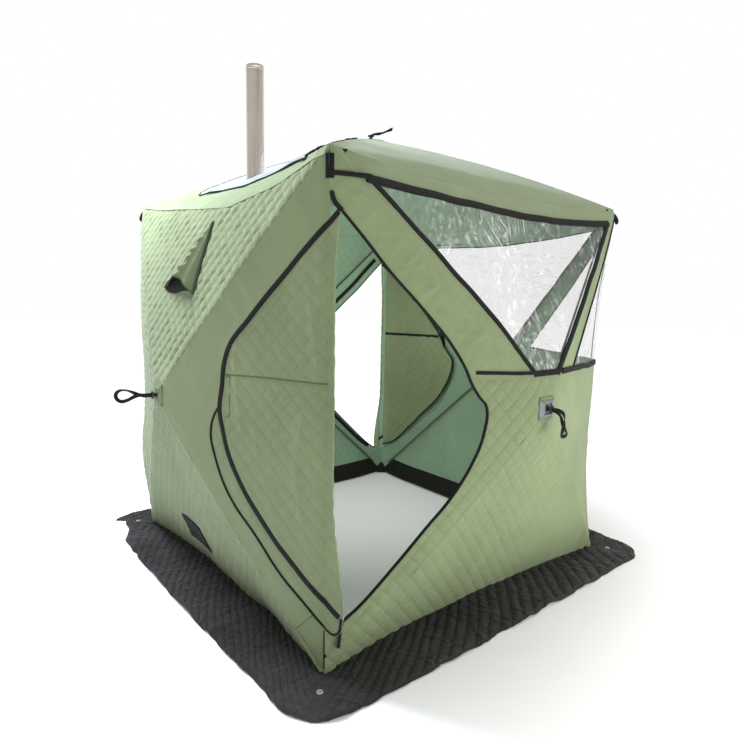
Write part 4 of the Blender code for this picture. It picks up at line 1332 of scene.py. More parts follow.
for wall in ("right", "rear_left"):
    face = FACES[wall]
    side = side_of(face, "door")
    trim_of(face, side, ribbon(f"opening_binding_{wall}", face, side, door_xy(face, open_line[:, 0] + 0.002, open_line[:, 1]), 0.0075, "binding", lift=0.0036, thick=0.003, sink=0.0045))
    hook = spline([(0.005, 1.694), (0.008, 1.684), (0.014, 1.666), (0.025, 1.651), (0.040, 1.636)], 0.004)
    trim_of(face, side, ribbon(f"opening_top_{wall}", face, side, door_xy(face, hook[:, 0], hook[:, 1]), 0.015, "binding", lift=0.0056, thick=0.0024, sink=0.002))
    inner = open_line[(open_line[:, 0] > 0.03)]
    trim_of(face, side, ribbon(f"inner_binding_{wall}", face, side, door_xy(face, inner[:, 0] + 0.052, inner[:, 1] + 0.020), 0.026, "binding", lift=-0.0088, thick=0.0020, sink=0.0094))
    tape = dense([(0.0, 1.752), (0.135, 1.752)], 0.008)
    if wall == "right":
        trim_of(face, side, ribbon(f"eave_tape_{wall}", face, side, door_xy(face, tape[:, 0], tape[:, 1]), 0.0145, "binding", lift=0.0078, thick=0.0022))

# ------------------------------------------------------------------- windows
for wall in ("right", "rear_right"):
    face = FACES[wall]
    W = lambda pts: wall_xy(face, *np.array(pts).T)
    side = "top"
    top = spline(W([(-0.775, 1.749), (-0.30, 1.735), (0.18, 1.722), (0.55, 1.739), (0.806, 1.758)]), 0.01)
    trim_of(face, side, ribbon(f"window_tape_top_{wall}", face, side, top, 0.029, "binding", lift=0.0052, wander=0.002))
    lbar = dense(W([(-0.757, 1.752), (-0.240, 1.275), (-0.047, 1.062)]), 0.01)
    trim_of(face, side, ribbon(f"window_tape_left_{wall}", face, side, lbar, 0.0185, "binding", lift=0.0052, wander=0.002))
    rbar = dense(W([(0.806, 1.762), (0.158, 1.112), (0.104, 1.058)]), 0.01)
    trim_of(face, side, ribbon(f"window_tape_right_{wall}", face, side, rbar, 0.021, "binding", lift=0.0052, wander=0.002))
    low = dense(W([(-0.058, 1.066), (0.114, 1.066)]), 0.008)
    trim_of(face, side, ribbon(f"window_tape_low_{wall}", face, side, low, 0.024, "binding", lift=0.0050))
    mid = dense(W([(-0.152, 1.074), (-0.05, 1.069)]), 0.008)
    trim_of(face, side, ribbon(f"mid_tape_inner_{wall}", face, side, mid, 0.013, "binding", lift=0.0062))
    mid = dense(W([(0.110, 1.068), (0.146, 1.068)]), 0.008)
    trim_of(face, side, ribbon(f"mid_tape_outer_{wall}", face, side, mid, 0.013, "binding", lift=0.0062))
    dside = side_of(face, "door")
    if wall == "right":
        mid = dense(W([(-0.345, 1.084), (-0.140, 1.074)]), 0.008)
        trim_of(face, dside, ribbon(f"mid_tape_door_{wall}", face, dside, mid, 0.013, "binding", lift=0.0062))
    cside = side_of(face, "corner")
    low = dense(corner_xy(face, [0.757, 0.55, 0.25, 0.0], [1.068, 1.064, 1.052, 1.047]), 0.01)
    trim_of(face, cside, ribbon(f"corner_tape_low_{wall}", face, cside, low, 0.024, "binding", lift=0.0064, wander=0.002))
    up_ = dense(corner_xy(face, [0.0, 0.25, 0.499, 0.606], [1.787, 1.474, 1.192, 1.070]), 0.01)
    trim_of(face, cside, ribbon(f"corner_tape_up_{wall}", face, cside, up_, 0.010, "binding", lift=0.0050))

    # Clear films, slightly slack in their frames.
    def film(name, side, poly, seed, node=None, deep=0.0):
        C0 = poly.mean(0)
        line = dense(poly, 0.012, closed=True)
        X, Y = pq_to_XY(side, GRID_PQ[::1, 0], GRID_PQ[::1, 1])
        X2, Y2, T2 = cut_sheet(face, side, [line], lambda C: in_polygon(C, poly) & in_panel(face, side, C, 0.02))
        P = face.at(side, X2, Y2)
        q2 = np.stack([X2 * face.hx, Y2 * face.hy], 1)
        inside = smooth(0.0, 0.12, line_distance(q2, [line]))
        x, y = q2[:, 0], q2[:, 1]
        w = 0.010 * fbm(x * 3.5, y * 3.5, seed) + 0.006 * (folds(x, y, 0.9, 0.5, 0.07, seed + 1, 4) - 0.25)
        w += 0.005 * (folds(x, y, -0.5, 0.4, 0.06, seed + 2, 5) - 0.2) + 0.0025 * (folds(x, y, 0.2, 0.15, 0.03, seed + 3, 4) - 0.2)
        N = point_normals(P, T2)
        P = P + N * (w * (0.15 + 0.85 * inside) - deep)[:, None]
        lat = np.stack([x / 0.05, y / 0.05, 0 * x], 1)
        ob = shell(name, P, T2, 0.0004, 0.0006, ("film",), None, lat)
        s0, s1 = face.blend_line(side)
        face.body(side)
        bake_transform(ob)
        if node:
            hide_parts(node)
        declare((1.56, 0.70) if node else (0.74, 0.62), area_of(P, T2))
        return ob

    film(f"film_main_{wall}", "top", wall_xy(face, *np.array(WINDOW).T), 201 if wall == "right" else 231, f"window_film_{wall}", 0.001)
    cpoly = corner_xy(face, [0.0, 0.004, 0.250, 0.499, 0.606, 0.0], [1.790, 1.783, 1.472, 1.190, 1.070, 1.060])
    film(f"film_corner_{wall}", cside, cpoly, 251 if wall == "right" else 271, None, 0.001)


# --------------------------------------------------------- eave hem and flue
def eave_point(wall, t, s):
    """Points either side of an eave: t along it (-1 to 1, world direction) and s
    metres down the wall, or up the roof where s is negative."""
    w, r = FACES[wall], FACES["roof"]
    rs = next(k for k, v in ROOF_LABEL.items() if v == wall)
    Lw, Lr = w.length("top"), r.length(rs)
    rho = 1 - np.maximum(s, 0) / Lw
    Pw = w.at("top", t * w.u.sum(), rho)
    rr = 1 - np.maximum(-s, 0) / Lr
    a, b = {"xmin": (-rr, t), "xmax": (rr, t), "top": (t, rr), "bottom": (t, -rr)}[rs]
    Pr = r.at(rs, a, b)
    return np.where((s > 0)[..., None], Pw, Pr)


for wall, low in HEM_LOW.items():
    t = np.linspace(-0.985, 0.985, 230)
    zl = np.interp(t * HALF, *np.array(low).T)
    zl = np.convolve(np.pad(zl, 9, mode="edge"), np.ones(19) / 19, "valid") + 0.0025 * noise(t * 13, 0.3, 5)
    s_low = (EAVE_Z - zl) / 0.9605
    f = np.linspace(0, 1, 16)
    S = 0.002 + (s_low[:, None] - 0.002) * f[None]
    Tt = np.broadcast_to(t[:, None], S.shape)
    P = eave_point(wall, Tt, S)
    dt = eave_point(wall, Tt + 0.003, S) - eave_point(wall, Tt - 0.003, S)
    ds = eave_point(wall, Tt, S + 0.0015) - eave_point(wall, Tt, np.maximum(S - 0.0015, 1e-5))
    N = np.cross(dt, ds)
    N /= np.linalg.norm(N, axis=-1, keepdims=True)
    n0 = FACES[wall].n
    if (N @ n0).mean() < 0:
        N = -N
    lift = 0.0035 + 0.0018 * fbm(Tt * 9, S * 30, 91) + 0.002 * (folds(Tt, S, 1.2, 0.1, 0.03, 92) - 0.4) * f[None]
    lift = lift + 0.0022 * smooth(0.55, 1.0, f)[None]
    ends = smooth(0.985, 0.93, np.abs(Tt))
    P = P + N * (np.maximum(lift, 0.0026) * (0.25 + 0.75 * ends))[..., None]
    lat = np.stack([Tt * 18, S * 20, 0 * S], -1)
    ob, A = grid_sheet(f"eave_hem_{wall}", P, 0.0008, 0.0010, ("hem",), lat, normals=N)
    fix_normals(ob.data)
    trim_of(FACES[wall], "top", ob)

# Heatproof panel over the eave, its bound edge, the collar and the pipe. Places
# are (y, s) with s metres down the wall from the eave, or up the roof below 0.
FIRE_UP = [(-0.745, -0.045), (-0.730, -0.120), (-0.520, -0.370), (-0.290, -0.620), (0.0, -0.632), (0.290, -0.600), (0.420, -0.430), (0.505, -0.265)]
FIRE_LOW = [(-0.765, 0.020), (-0.680, 0.006), (-0.597, 0.005), (-0.520, 0.012), (-0.439, 0.018), (-0.350, 0.027), (-0.276, 0.027), (-0.150, 0.012),
            (-0.050, 0.001), (0.080, -0.020), (0.200, -0.045), (0.350, -0.098), (0.450, -0.150), (0.515, -0.225)]


def by_length(points, n):
    p = spline(points, 0.01)
    d = np.concatenate([[0], np.cumsum(np.linalg.norm(np.diff(p, axis=0), axis=1))])
    at = np.linspace(0, d[-1], n)
    return np.stack([np.interp(at, d, p[:, 0]), np.interp(at, d, p[:, 1])], 1)


hi, lo = by_length(FIRE_UP, 190), by_length(FIRE_LOW, 190)
lo[:, 1] += 0.0025 * noise(lo[:, 0] * 10, 0.8, 6)
f = np.linspace(0, 1, 84)[None] ** 0.8
Tt = (hi[:, :1] + (lo[:, :1] - hi[:, :1]) * f) / HALF
S = hi[:, 1:] + (lo[:, 1:] - hi[:, 1:]) * f
P = eave_point("left", Tt, S)
dt = eave_point("left", Tt + 0.003, S) - eave_point("left", Tt - 0.003, S)
ds = eave_point("left", Tt, S + 0.002) - eave_point("left", Tt, S - 0.002)
N = np.cross(dt, ds)
N /= np.linalg.norm(N, axis=-1, keepdims=True)
if N[..., 2].mean() < 0:
    N = -N
w = 0.0070 + 0.003 * fbm(Tt * 7, S * 9, 95) + 0.005 * np.maximum(folds(Tt, S, 0.2, 0.25, 0.05, 96) - 0.45, 0)
dist = np.hypot(P[..., 0] - PIPE_X, P[..., 1] - PIPE_Y)
w = w + (0.0062 - w) * smooth(0.12, 0.07, dist)
P = P + N * np.maximum(w, 0.0062)[..., None]
lat = np.stack([Tt * 18, S * 20, 0 * S], -1)
fire, A_fire = grid_sheet("heatproof_sheet", P, 0.0007, 0.0007, ("fire",), lat, normals=N, drop=dist < 0.050)
fix_normals(fire.data)
fire_P, fire_N = P, N


def space_ribbon(name, P, N, width, look, lift=0.001, thick=0.0014):
    """A tape along points in space with given normals."""
    t = np.gradient(P, axis=0)
    t /= np.maximum(np.linalg.norm(t, axis=1, keepdims=True), 1e-9)
    B = np.cross(N, t)
    B /= np.maximum(np.linalg.norm(B, axis=1, keepdims=True), 1e-9)
    ks = [(-1, lift), (-0.9, lift + thick), (0, lift + 1.25 * thick), (0.9, lift + thick), (1, lift), (0.9, -thick), (-0.9, -thick)]
    V = np.stack([P + B * (k * width / 2) + N * h for k, h in ks], 1)
    n, m = V.shape[:2]
    i, j = np.arange(n - 1)[:, None] * m, np.arange(m)[None]
    k = (np.arange(m)[None] + 1) % m
    F = np.stack([i + j, i + k, i + k + m, i + j + m], -1).reshape(-1, 4)
    ends = np.array([list(range(m))[::-1], list(range((n - 1) * m, n * m))])
    me = mesh_from(name, V.reshape(-1, 3), [F, ends], None, V.reshape(-1, 3) / 0.05, 50)
    fix_normals(me)
    return add(name, me, look)


for name, body, P_, N_, width in FOLD_TAPES:
    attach(space_ribbon(name, P_, N_, width, "binding", lift=0.0042, thick=0.0018), body)

roof = FACES["roof"]
edge_P = np.concatenate([fire_P[0, ::3], fire_P[1:, -1], fire_P[-1, -2::-3], fire_P[-2:0:-2, 0]])
edge_N = np.concatenate([fire_N[0, ::3], fire_N[1:, -1], fire_N[-1, -2::-3], fire_N[-2:0:-2, 0]])
fire_edge = space_ribbon("heatproof_edge", edge_P, edge_N, 0.0085, "binding")
for ob in (fire, fire_edge):
    s0, s1 = roof.blend_line("xmin")
    roof.body("xmin")
    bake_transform(ob)
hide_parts("fireproof_panel")


def lathe(name, profile, sides, look, at=(0, 0, 0), sharp=40):
    """A turned shape about z through the point at; the profile runs round its
    section and is closed."""
    pr = np.asarray(profile, float)
    a = np.linspace(0, 2 * math.pi, sides, endpoint=False)
    V = np.stack([pr[:, None, 0] * np.cos(a)[None], pr[:, None, 0] * np.sin(a)[None], np.broadcast_to(pr[:, None, 1], (len(pr), sides))], -1)
    n = len(pr)
    i = np.arange(n)[:, None]
    j = np.arange(sides)[None]
    i2, j2 = (i + 1) % n, (j + 1) % sides
    F = np.stack([i * sides + j, i * sides + j2, i2 * sides + j2, i2 * sides + j], -1).reshape(-1, 4)
    me = mesh_from(name, V.reshape(-1, 3) + np.array(at), F, None, V.reshape(-1, 3) / 0.05, sharp)
    fix_normals(me)
    return add(name, me, look)


pipe_profile = [(PIPE_R - 0.001, 1.800), (PIPE_R, 1.800), (PIPE_R, 1.8012), (PIPE_R, 1.803), (PIPE_R, 1.82), (PIPE_R, 2.29), (PIPE_R, 2.310)]
for z in (2.314,):
    pipe_profile += [(PIPE_R, z), (PIPE_R + 0.0009, z + 0.0012), (PIPE_R + 0.0012, z + 0.004), (PIPE_R + 0.0009, z + 0.0068), (PIPE_R, z + 0.008)]
pipe_profile += [(PIPE_R, 2.3305), (PIPE_R - 0.0002, 2.332), (PIPE_R - 0.001, 2.332)]
pipe = lathe("pipe_tube", pipe_profile, 112, "steel", (PIPE_X, PIPE_Y, 0), 50)
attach(pipe, "stovepipe_body")
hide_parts("stovepipe")
# The rolled seam down the pipe.
seam = tube("pipe_seam", [(PIPE_X + (PIPE_R + 0.0002) * math.cos(2.2), PIPE_Y + (PIPE_R + 0.0002) * math.sin(2.2), z) for z in np.linspace(1.803, 2.294, 24)], 0.0011, "steel", 8)
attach(seam, "stovepipe_body")

flue = eave_point("left", np.array([PIPE_Y / HALF]), np.array([-0.145]))[0]
# Collar: a flange that follows the roof and a ribbed sleeve round the pipe.
theta = math.atan2(ROOF_RISE, HALF)
nf = 96
rings = []
a = np.linspace(0, 2 * math.pi, nf, endpoint=False)


def roof_z(x, y):
    r = FACES["roof"]
    return r.at("xmin", np.asarray(x) / HALF, np.asarray(y) / HALF)[..., 2]


prof = [(PIPE_R + 0.0012, 0.0095, 0), (PIPE_R + 0.0012, 0.0185, 1), (PIPE_R + 0.0026, 0.0198, 1), (PIPE_R + 0.0040, 0.0190, 1),
        (PIPE_R + 0.0050, 0.0165, 1), (PIPE_R + 0.0056, 0.0145, 0), (PIPE_R + 0.0110, 0.0130, 0),
        (0.0570, 0.0120, 0), (0.0640, 0.0116, 0), (0.0662, 0.0106, 0), (0.0662, 0.0086, 0)]
ring_rows = []
z_mid = roof_z(PIPE_X, PIPE_Y)
for r, h, level in prof:
    x, y = PIPE_X + r * np.cos(a), PIPE_Y + r * np.sin(a)
    zr = roof_z(x, y)
    z = zr + h if not level else z_mid + h + (zr - z_mid) * max(0.0, 1 - h / 0.05)
    ring_rows.append(np.stack([x, y, z], 1))
V = np.concatenate(ring_rows)
n = len(prof)
i = np.arange(n)[:, None]
j = np.arange(nf)[None]
F = np.stack([i * nf + j, i * nf + (j + 1) % nf, ((i + 1) % n) * nf + (j + 1) % nf, ((i + 1) % n) * nf + j], -1).reshape(-1, 4)
me = mesh_from("collar_mesh", V, F, None, V / 0.05, 40)
fix_normals(me)
collar = add("collar_boot", me, "collar")
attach(collar, "panel_roof_left_body")
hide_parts("flue_collar")

# ------------------------------------------------------- seams along the edges
seam_objs = []


def seam_curve(wall, side, a, b, n):
    """Points along a wall's own edge."""
    face = FACES[wall]
    c = np.linspace(a, b, n)
    one = np.ones(n)
    X, Y = {"top": (c, one), "bottom": (c, -one), "xmax": (one, c), "xmin": (-one, c)}[side]
    return face.at(side, X, Y)


k = 0
for wall in NORMALS:
    P = seam_curve(wall, "top", -0.985, 0.985, 120)
    seam_objs.append(tube(f"seam_eave_{wall}", P, 0.0034, "hem", 8))
    P = seam_curve(wall, "bottom", -0.985, 0.985, 120)
    seam_objs.append(tube(f"seam_foot_{wall}", P, 0.0032, "plain", 6))
zy = lambda z: (z - HUB_Z) / HALF_H
for wall in ("left", "right"):
    P = seam_curve(wall, side_of(FACES[wall], "corner"), -0.985, 0.985, 120)
    seam_objs.append(tube(f"seam_corner_{wall}", P, 0.0030, "plain", 8))
for tag, wall in (("front", "left"), ("rear", "rear_right")):
    P = seam_curve(wall, side_of(FACES[wall], "door"), -0.985, zy(0.185), 20)
    seam_objs.append(tube(f"seam_{tag}_low", P, 0.0028, "plain", 8))
    P = seam_curve(wall, side_of(FACES[wall], "door"), zy(1.606), 0.985, 24)
    seam_objs.append(tube(f"seam_{tag}_high", P, 0.0028, "plain", 8))
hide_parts("seam_piping_frame")
for ob in seam_objs:
    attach(ob, "root")

# Pockets that hold the pole tips, inside the eight corners.
for i in (-1, 1):
    for j in (-1, 1):
        for tag, z, zs in (("low", 0.012, 1), ("high", EAVE_Z - 0.010, -1)):
            bm = bmesh.new()
            c = Vector((i * (HALF - 0.004), j * (HALF - 0.004), z))
            legs = [Vector((-i * 0.075, 0, 0)), Vector((0, -j * 0.075, 0)), Vector((0, 0, zs * 0.085))]
            n = 7
            grid = {}
            for a in range(n + 1):
                for b in range(n + 1 - a):
                    u, v = a / n, b / n
                    w = 1 - u - v
                    p = c + legs[0] * u + legs[1] * v + legs[2] * w
                    p += Vector((-i, -j, zs)).normalized() * (-0.012 + 0.020 * (27 * u * v * w) * 0.6)
                    grid[a, b] = bm.verts.new(p)
            tip = bm.verts.new(c + Vector((-i, -j, zs)) * 0.0015)
            for a in range(n):
                for b in range(n - a):
                    bm.faces.new((grid[a, b], grid[a + 1, b], grid[a, b + 1]))
                    if a + b < n - 1:
                        bm.faces.new((grid[a + 1, b], grid[a + 1, b + 1], grid[a, b + 1]))
            for edge in ([(a, 0) for a in range(n + 1)], [(0, b) for b in range(n + 1)], [(a, n - a) for a in range(n + 1)]):
                for e, f_ in zip(edge, edge[1:]):
                    bm.faces.new((grid[e], grid[f_], tip))
            bmesh.ops.recalc_face_normals(bm, faces=bm.faces[:])
            me = bpy.data.meshes.new("pocket")
            bm.to_mesh(me)
            bm.free()
            me.shade_smooth()
            me.set_sharp_from_angle(angle=math.radians(45))
            ob = add(f"corner_pocket_{tag}_{'n' if i < 0 else 'p'}{'n' if j < 0 else 'p'}", me, "black")
            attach(ob, "root")


# Vertical webbing tabs at the top of the door corners.
def corner_strip(name, wall_a, wall_b, z0, z1, width, look, lift=0.0045):
    rows = []
    zs = np.linspace(z0, z1, 14)
    for k in np.linspace(-1, 1, 9):
        face = FACES[wall_a if k < 0 else wall_b]
        d = abs(k) * width / 2
        xy = door_xy(face, np.full(len(zs), d), zs)
        side = side_of(face, "door")
        P = face.at(side, xy[:, 0] / face.hx, xy[:, 1] / face.hy)
        na = FACES[wall_a].n + FACES[wall_b].n
        nn = face.n * 0.5 + na / np.linalg.norm(na) * 0.5
        nn /= np.linalg.norm(nn)
        rows.append(P + nn * lift)
    P = np.stack(rows, 1)
    out = FACES[wall_a].n + FACES[wall_b].n
    out /= np.linalg.norm(out)
    N = np.broadcast_to(out, P.shape)
    lat = np.stack([P[..., 2] / 0.05, P[..., 0] / 0.05, 0 * P[..., 0]], -1)
    ob, A = grid_sheet(name, P, 0.0010, 0.0012, (look,), lat, normals=N)
    fix_normals(ob.data)
    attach(ob, "root")
    return ob


for tag, a_, b_ in (("front", "left", "right"), ("rear", "rear_right", "rear_left")):
    corner_strip(f"corner_tab_{tag}", a_, b_, 1.735, 1.812, 0.026, "binding")

# ------------------------------------------------------------ vents, left wall
face = FACES["left"]


def on_left(side, y, z):
    X, Y = -np.asarray(y, float) / face.hx, (np.asarray(z, float) - HUB_Z) / face.hy
    return face.at(side, X, Y), face.normal(side, X, Y)


# Low vent: a mesh-backed flap, four-cornered.
u, v = np.meshgrid(np.linspace(0, 1, 44), np.linspace(0, 1, 28), indexing="ij")
c00, c10, c11, c01 = LOW_VENT
yy = (1 - u) * (1 - v) * c00[0] + u * (1 - v) * c10[0] + u * v * c11[0] + (1 - u) * v * c01[0]
zz = (1 - u) * (1 - v) * c00[1] + u * (1 - v) * c10[1] + u * v * c11[1] + (1 - u) * v * c01[1]
P, N = on_left("bottom", yy, zz)
border = np.minimum(np.minimum(u, 1 - u) * 0.22, np.minimum(v, 1 - v) * 0.13)
P = P + N * (0.0062 + 0.0018 * smooth(0.011, 0.006, border) + 0.0016 * noise(yy * 40, zz * 40, 3))[..., None]
lat = np.stack([yy / 0.02, zz / 0.02, 0 * yy], -1)
low_vent, A = grid_sheet("low_vent", P, 0.0008, 0.0022, ("black",), lat, normals=N)
fix_normals(low_vent.data)
trim_of(face, "bottom", low_vent)

# Vent hood: one cloth sewn to the wall along both its long sides, with its low
# edge standing open at the left.
nB = 60
b = np.linspace(0, 1, nB)
tip, foot_l, foot_r = (np.array(v) for v in ((-0.150, 1.668), (0.203, 1.386), (-0.152, 1.357)))
lip_yz, lip_out = np.array((-0.052, 1.434)), 0.070
wall_l = tip + (foot_l - tip) * b[:, None]
wall_r = tip + (foot_r - tip) * b[:, None]
lead = tip + (lip_yz - tip) * b[:, None]
nG, nF = 16, 44
rows_ = []
for k in range(nG):
    f = k / nG
    # From the sewn left side up to the free leading edge.
    yz = wall_l * (1 - f) + lead * f
    out = lip_out * b * (f**0.8)
    out = out + 0.010 * np.sin(b * 34 + 0.4) * math.sin(math.pi * min(1.0, f * 1.15)) * b * smooth(1.0, 0.9, b)
    rows_.append((yz, out))
for k in range(nF):
    f = k / (nF - 1)
    yz = lead * (1 - f) + wall_r * f
    # The low edge is cut as a shallow arch.
    yz = yz + np.array([0.0, 0.022]) * (math.sin(math.pi * f) * b**6)[:, None]
    out = lip_out * b * (1 - f) ** 0.9 + 0.016 * b * math.sin(math.pi * f) ** 1.3
    ruff = math.exp(-((f - 0.10) / 0.13) ** 2)
    out = out + (0.0060 * np.sin(b * 40 + 5.5 * f) + 0.004 * np.sin(b * 23 - 3 * f + 1.2)) * ruff * smooth(0.03, 0.25, b)
    out = out + 0.0050 * math.sin(3.2 * math.pi * f) * b
    rows_.append((yz, out))
YZ = np.stack([r[0] for r in rows_])
OUT = np.stack([r[1] for r in rows_])
OUT = OUT + 0.0035 * fbm(YZ[..., 0] * 18, YZ[..., 1] * 18, 301) * b[None]
P, N = on_left("top", YZ[..., 0], YZ[..., 1])
P = P + face.n * (0.0058 + np.maximum(OUT, 0.0))[..., None]
s_ = np.linspace(0, 1, len(rows_))[:, None] * np.ones((1, nB))
lat = np.stack([s_ * 7.0, np.broadcast_to(b[None] * 6.6, s_.shape), (s_ < 0.5) * 1.0], -1)
hood, A_hood = grid_sheet("hood_cloth", P, 0.0012, 0.0012, ("quilt", "mesh_green"), lat)
fix_normals(hood.data)
trim_of(face, "top", hood)
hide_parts("vent_hood")
side_r = P[-1] + face.n * 0.0035
roll = tube("hood_roll", side_r, np.interp(b, [0, 0.06, 0.5, 1], [0.003, 0.0072, 0.0088, 0.0080]), "dark_green", 12)
trim_of(face, "top", roll)
lip_binding = tube("hood_lip", P[nG:, -1], 0.0032, "dark_green", 8)
trim_of(face, "top", lip_binding)
# Dark mesh over the opening in the wall behind it.
u, v = np.meshgrid(np.linspace(0, 1, 30), np.linspace(0, 1, 24), indexing="ij")
l0, r0 = np.array((0.198, 1.383)), np.array((-0.140, 1.368))
l1, r1 = np.array((-0.118, 1.640)), np.array((-0.150, 1.640))
low_ = (1 - u)[..., None] * l0 + u[..., None] * r0
low_ = low_ - np.array([0.0, 0.016]) * (smooth(0, 0.25, u) * smooth(0.75, 0.4, u))[..., None]
YZm = low_ * (1 - v)[..., None] + ((1 - u)[..., None] * l1 + u[..., None] * r1) * v[..., None]
Pm, Nm = on_left("top", YZm[..., 0], YZm[..., 1])
Pm = Pm + Nm * 0.0046
mouth, _ = grid_sheet("hood_mesh", Pm, 0.0006, 0.0010, ("black",), np.stack([YZm[..., 0] / 0.02, YZm[..., 1] / 0.02, 0 * u], -1), normals=Nm)
fix_normals(mouth.data)
trim_of(face, "top", mouth)


# ------------------------------------------------------- hubs, straps, patches
def hub_core(name, f):
    """Disc with four pole slots and their pins, neck and cap."""
    angle = math.atan2(f.hy, f.hx)
    prof = [(0.0, -0.036), (0.0392, -0.036), (0.0413, -0.0353), (0.042, -0.0335), (0.042, -0.0225), (0.0413, -0.0207),
            (0.0395, -0.0200), (0.0110, -0.0200), (0.0085, -0.0190), (0.0080, -0.0170), (0.0080, 0.0150), (0.0160, 0.0152),
            (0.0172, 0.0158), (0.0175, 0.0172), (0.0174, 0.0190), (0.0164, 0.0202), (0.0148, 0.0206), (0.0, 0.0209)]
    bm = bmesh.new()
    sides = 48
    rows = []
    for r, z in prof:
        if r == 0:
            rows.append([bm.verts.new((0, 0, z))])
        else:
            rows.append([bm.verts.new((r * math.cos(2 * math.pi * k / sides), r * math.sin(2 * math.pi * k / sides), z)) for k in range(sides)])
    for p, q in zip(rows, rows[1:]):
        for k in range(sides):
            l = (k + 1) % sides
            if len(p) == 1:
                bm.faces.new((p[0], q[k], q[l]))
            elif len(q) == 1:
                bm.faces.new((p[k], p[l], q[0]))
            else:
                bm.faces.new((p[k], p[l], q[l], q[k]))
    bmesh.ops.recalc_face_normals(bm, faces=bm.faces[:])
    me = bpy.data.meshes.new(name)
    bm.to_mesh(me)
    bm.free()
    core = bpy.data.objects.new("tmp_core", me)
    bpy.context.scene.collection.objects.link(core)
    cut = bmesh.new()
    pins = bmesh.new()
    for kk in (angle, math.pi - angle, math.pi + angle, -angle):
        m = Matrix.Rotation(kk, 4, "Z")
        res = bmesh.ops.create_cube(cut, size=1.0, matrix=m @ Matrix.Translation((0.041, 0, -0.0315)) @ Matrix.Diagonal((0.037, 0.0124, 0.037, 1)))
        bmesh.ops.create_cone(pins, cap_ends=True, segments=20, radius1=0.0025, radius2=0.0025, depth=0.019,
                              matrix=m @ Matrix.Translation((0.030, 0, -0.027)) @ Matrix.Rotation(math.pi / 2, 4, "X"))
    mods = []
    for tag, b_, op in (("cut", cut, "DIFFERENCE"), ("pins", pins, "UNION")):
        mm = bpy.data.meshes.new("tmp_" + tag)
        b_.to_mesh(mm)
        b_.free()
        o = bpy.data.objects.new("tmp_" + tag, mm)
        bpy.context.scene.collection.objects.link(o)
        mod = core.modifiers.new(tag, "BOOLEAN")
        mod.operation, mod.object, mod.solver = op, o, "EXACT"
        mods.append(o)
    bev = core.modifiers.new("bevel", "BEVEL")
    bev.width, bev.segments, bev.limit_method, bev.angle_limit = 0.0006, 2, "ANGLE", math.radians(40)
    bpy.context.view_layer.update()
    done = bpy.data.meshes.new_from_object(core.evaluated_get(bpy.context.evaluated_depsgraph_get()))
    for o in (core, *mods):
        bpy.data.objects.remove(o, do_unlink=True)
    done.shade_smooth()
    done.set_sharp_from_angle(angle=math.radians(35))
    R = Matrix([list(f.u), list(f.v), list(f.n)]).transposed().to_4x4()
    R.translation = Vector(f.o + f.n * f.bulge)
    done.transform(R)
    return add(name, done, "hub")


def free_curve(points, step=0.004):
    return spline(points, step)


def strap_piece(name, f, pts, width, twists, look="black", scale=(1, 1, 1)):
    """Webbing doubled into a loop; points are (a, b, c) along the face's own
    right, up and outward directions from the hub's apex."""
    path = free_curve(np.array(pts) * np.array(scale) + np.array([0, 0, 0.019 * (1 - scale[2])]))
    s = np.concatenate([[0], np.cumsum(np.linalg.norm(np.diff(path, axis=0), axis=1))])
    s /= s[-1]
    tw = np.interp(s, np.linspace(0, 1, len(twists)), twists)
    world = f.o + f.n * f.bulge + path[:, :1] * f.u + path[:, 1:2] * f.v + path[:, 2:] * f.n
    V, F, E = sweep_webbing(world, width, 0.0016, np.radians(tw), (0.2, 0.1, 1))
    me = mesh_from(name, V, [np.array(F), np.array(E)], None, np.stack([np.repeat(s * 8, 10), np.tile(np.linspace(0, 1, 10) * 0.4, len(path)), np.zeros(len(V))], 1), 50)
    fix_normals(me)
    ob = add(name, me, look)
    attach(ob, f"hub_{f.name}_body")
    return ob


# Side straps run out level; drop straps fall from their hub.
SIDE_LOOP = [(0, 0.003, 0.019), (-0.004, 0.002, 0.034), (-0.022, -0.001, 0.054), (-0.046, 0.001, 0.074), (-0.072, 0.012, 0.097),
             (-0.098, 0.020, 0.120), (-0.122, 0.018, 0.141), (-0.139, 0.004, 0.155), (-0.143, -0.014, 0.158), (-0.134, -0.032, 0.150),
             (-0.116, -0.038, 0.136), (-0.092, -0.030, 0.116), (-0.068, -0.014, 0.094), (-0.044, -0.002, 0.072),
             (-0.021, -0.004, 0.051), (-0.003, -0.001, 0.032), (0.001, -0.001, 0.018)]
SIDE_TWIST = [60, 80, 115, 110, 60, 35, 30, 40, 60, 75, 70, 60, 70, 90, 110, 100, 80]
DROP_LOOP = [(-0.002, 0, 0.019), (0.001, 0.002, 0.032), (0.010, -0.003, 0.046), (0.022, -0.012, 0.056), (0.029, -0.030, 0.060),
             (0.027, -0.050, 0.062), (0.020, -0.066, 0.064), (0.012, -0.086, 0.064), (0.012, -0.102, 0.062), (0.032, -0.106, 0.062),
             (0.044, -0.100, 0.064), (0.040, -0.084, 0.062), (0.028, -0.066, 0.058), (0.022, -0.046, 0.054), (0.018, -0.028, 0.050),
             (0.010, -0.014, 0.042), (0.004, -0.006, 0.034), (0.002, -0.002, 0.026), (0.002, 0, 0.018)]
DROP_TWIST = [20, 60, 90, 60, 30, 60, 90, 60, 40, 60, 80, 60, 40, 60, 80, 60, 40]
ROOF_LOOP = []
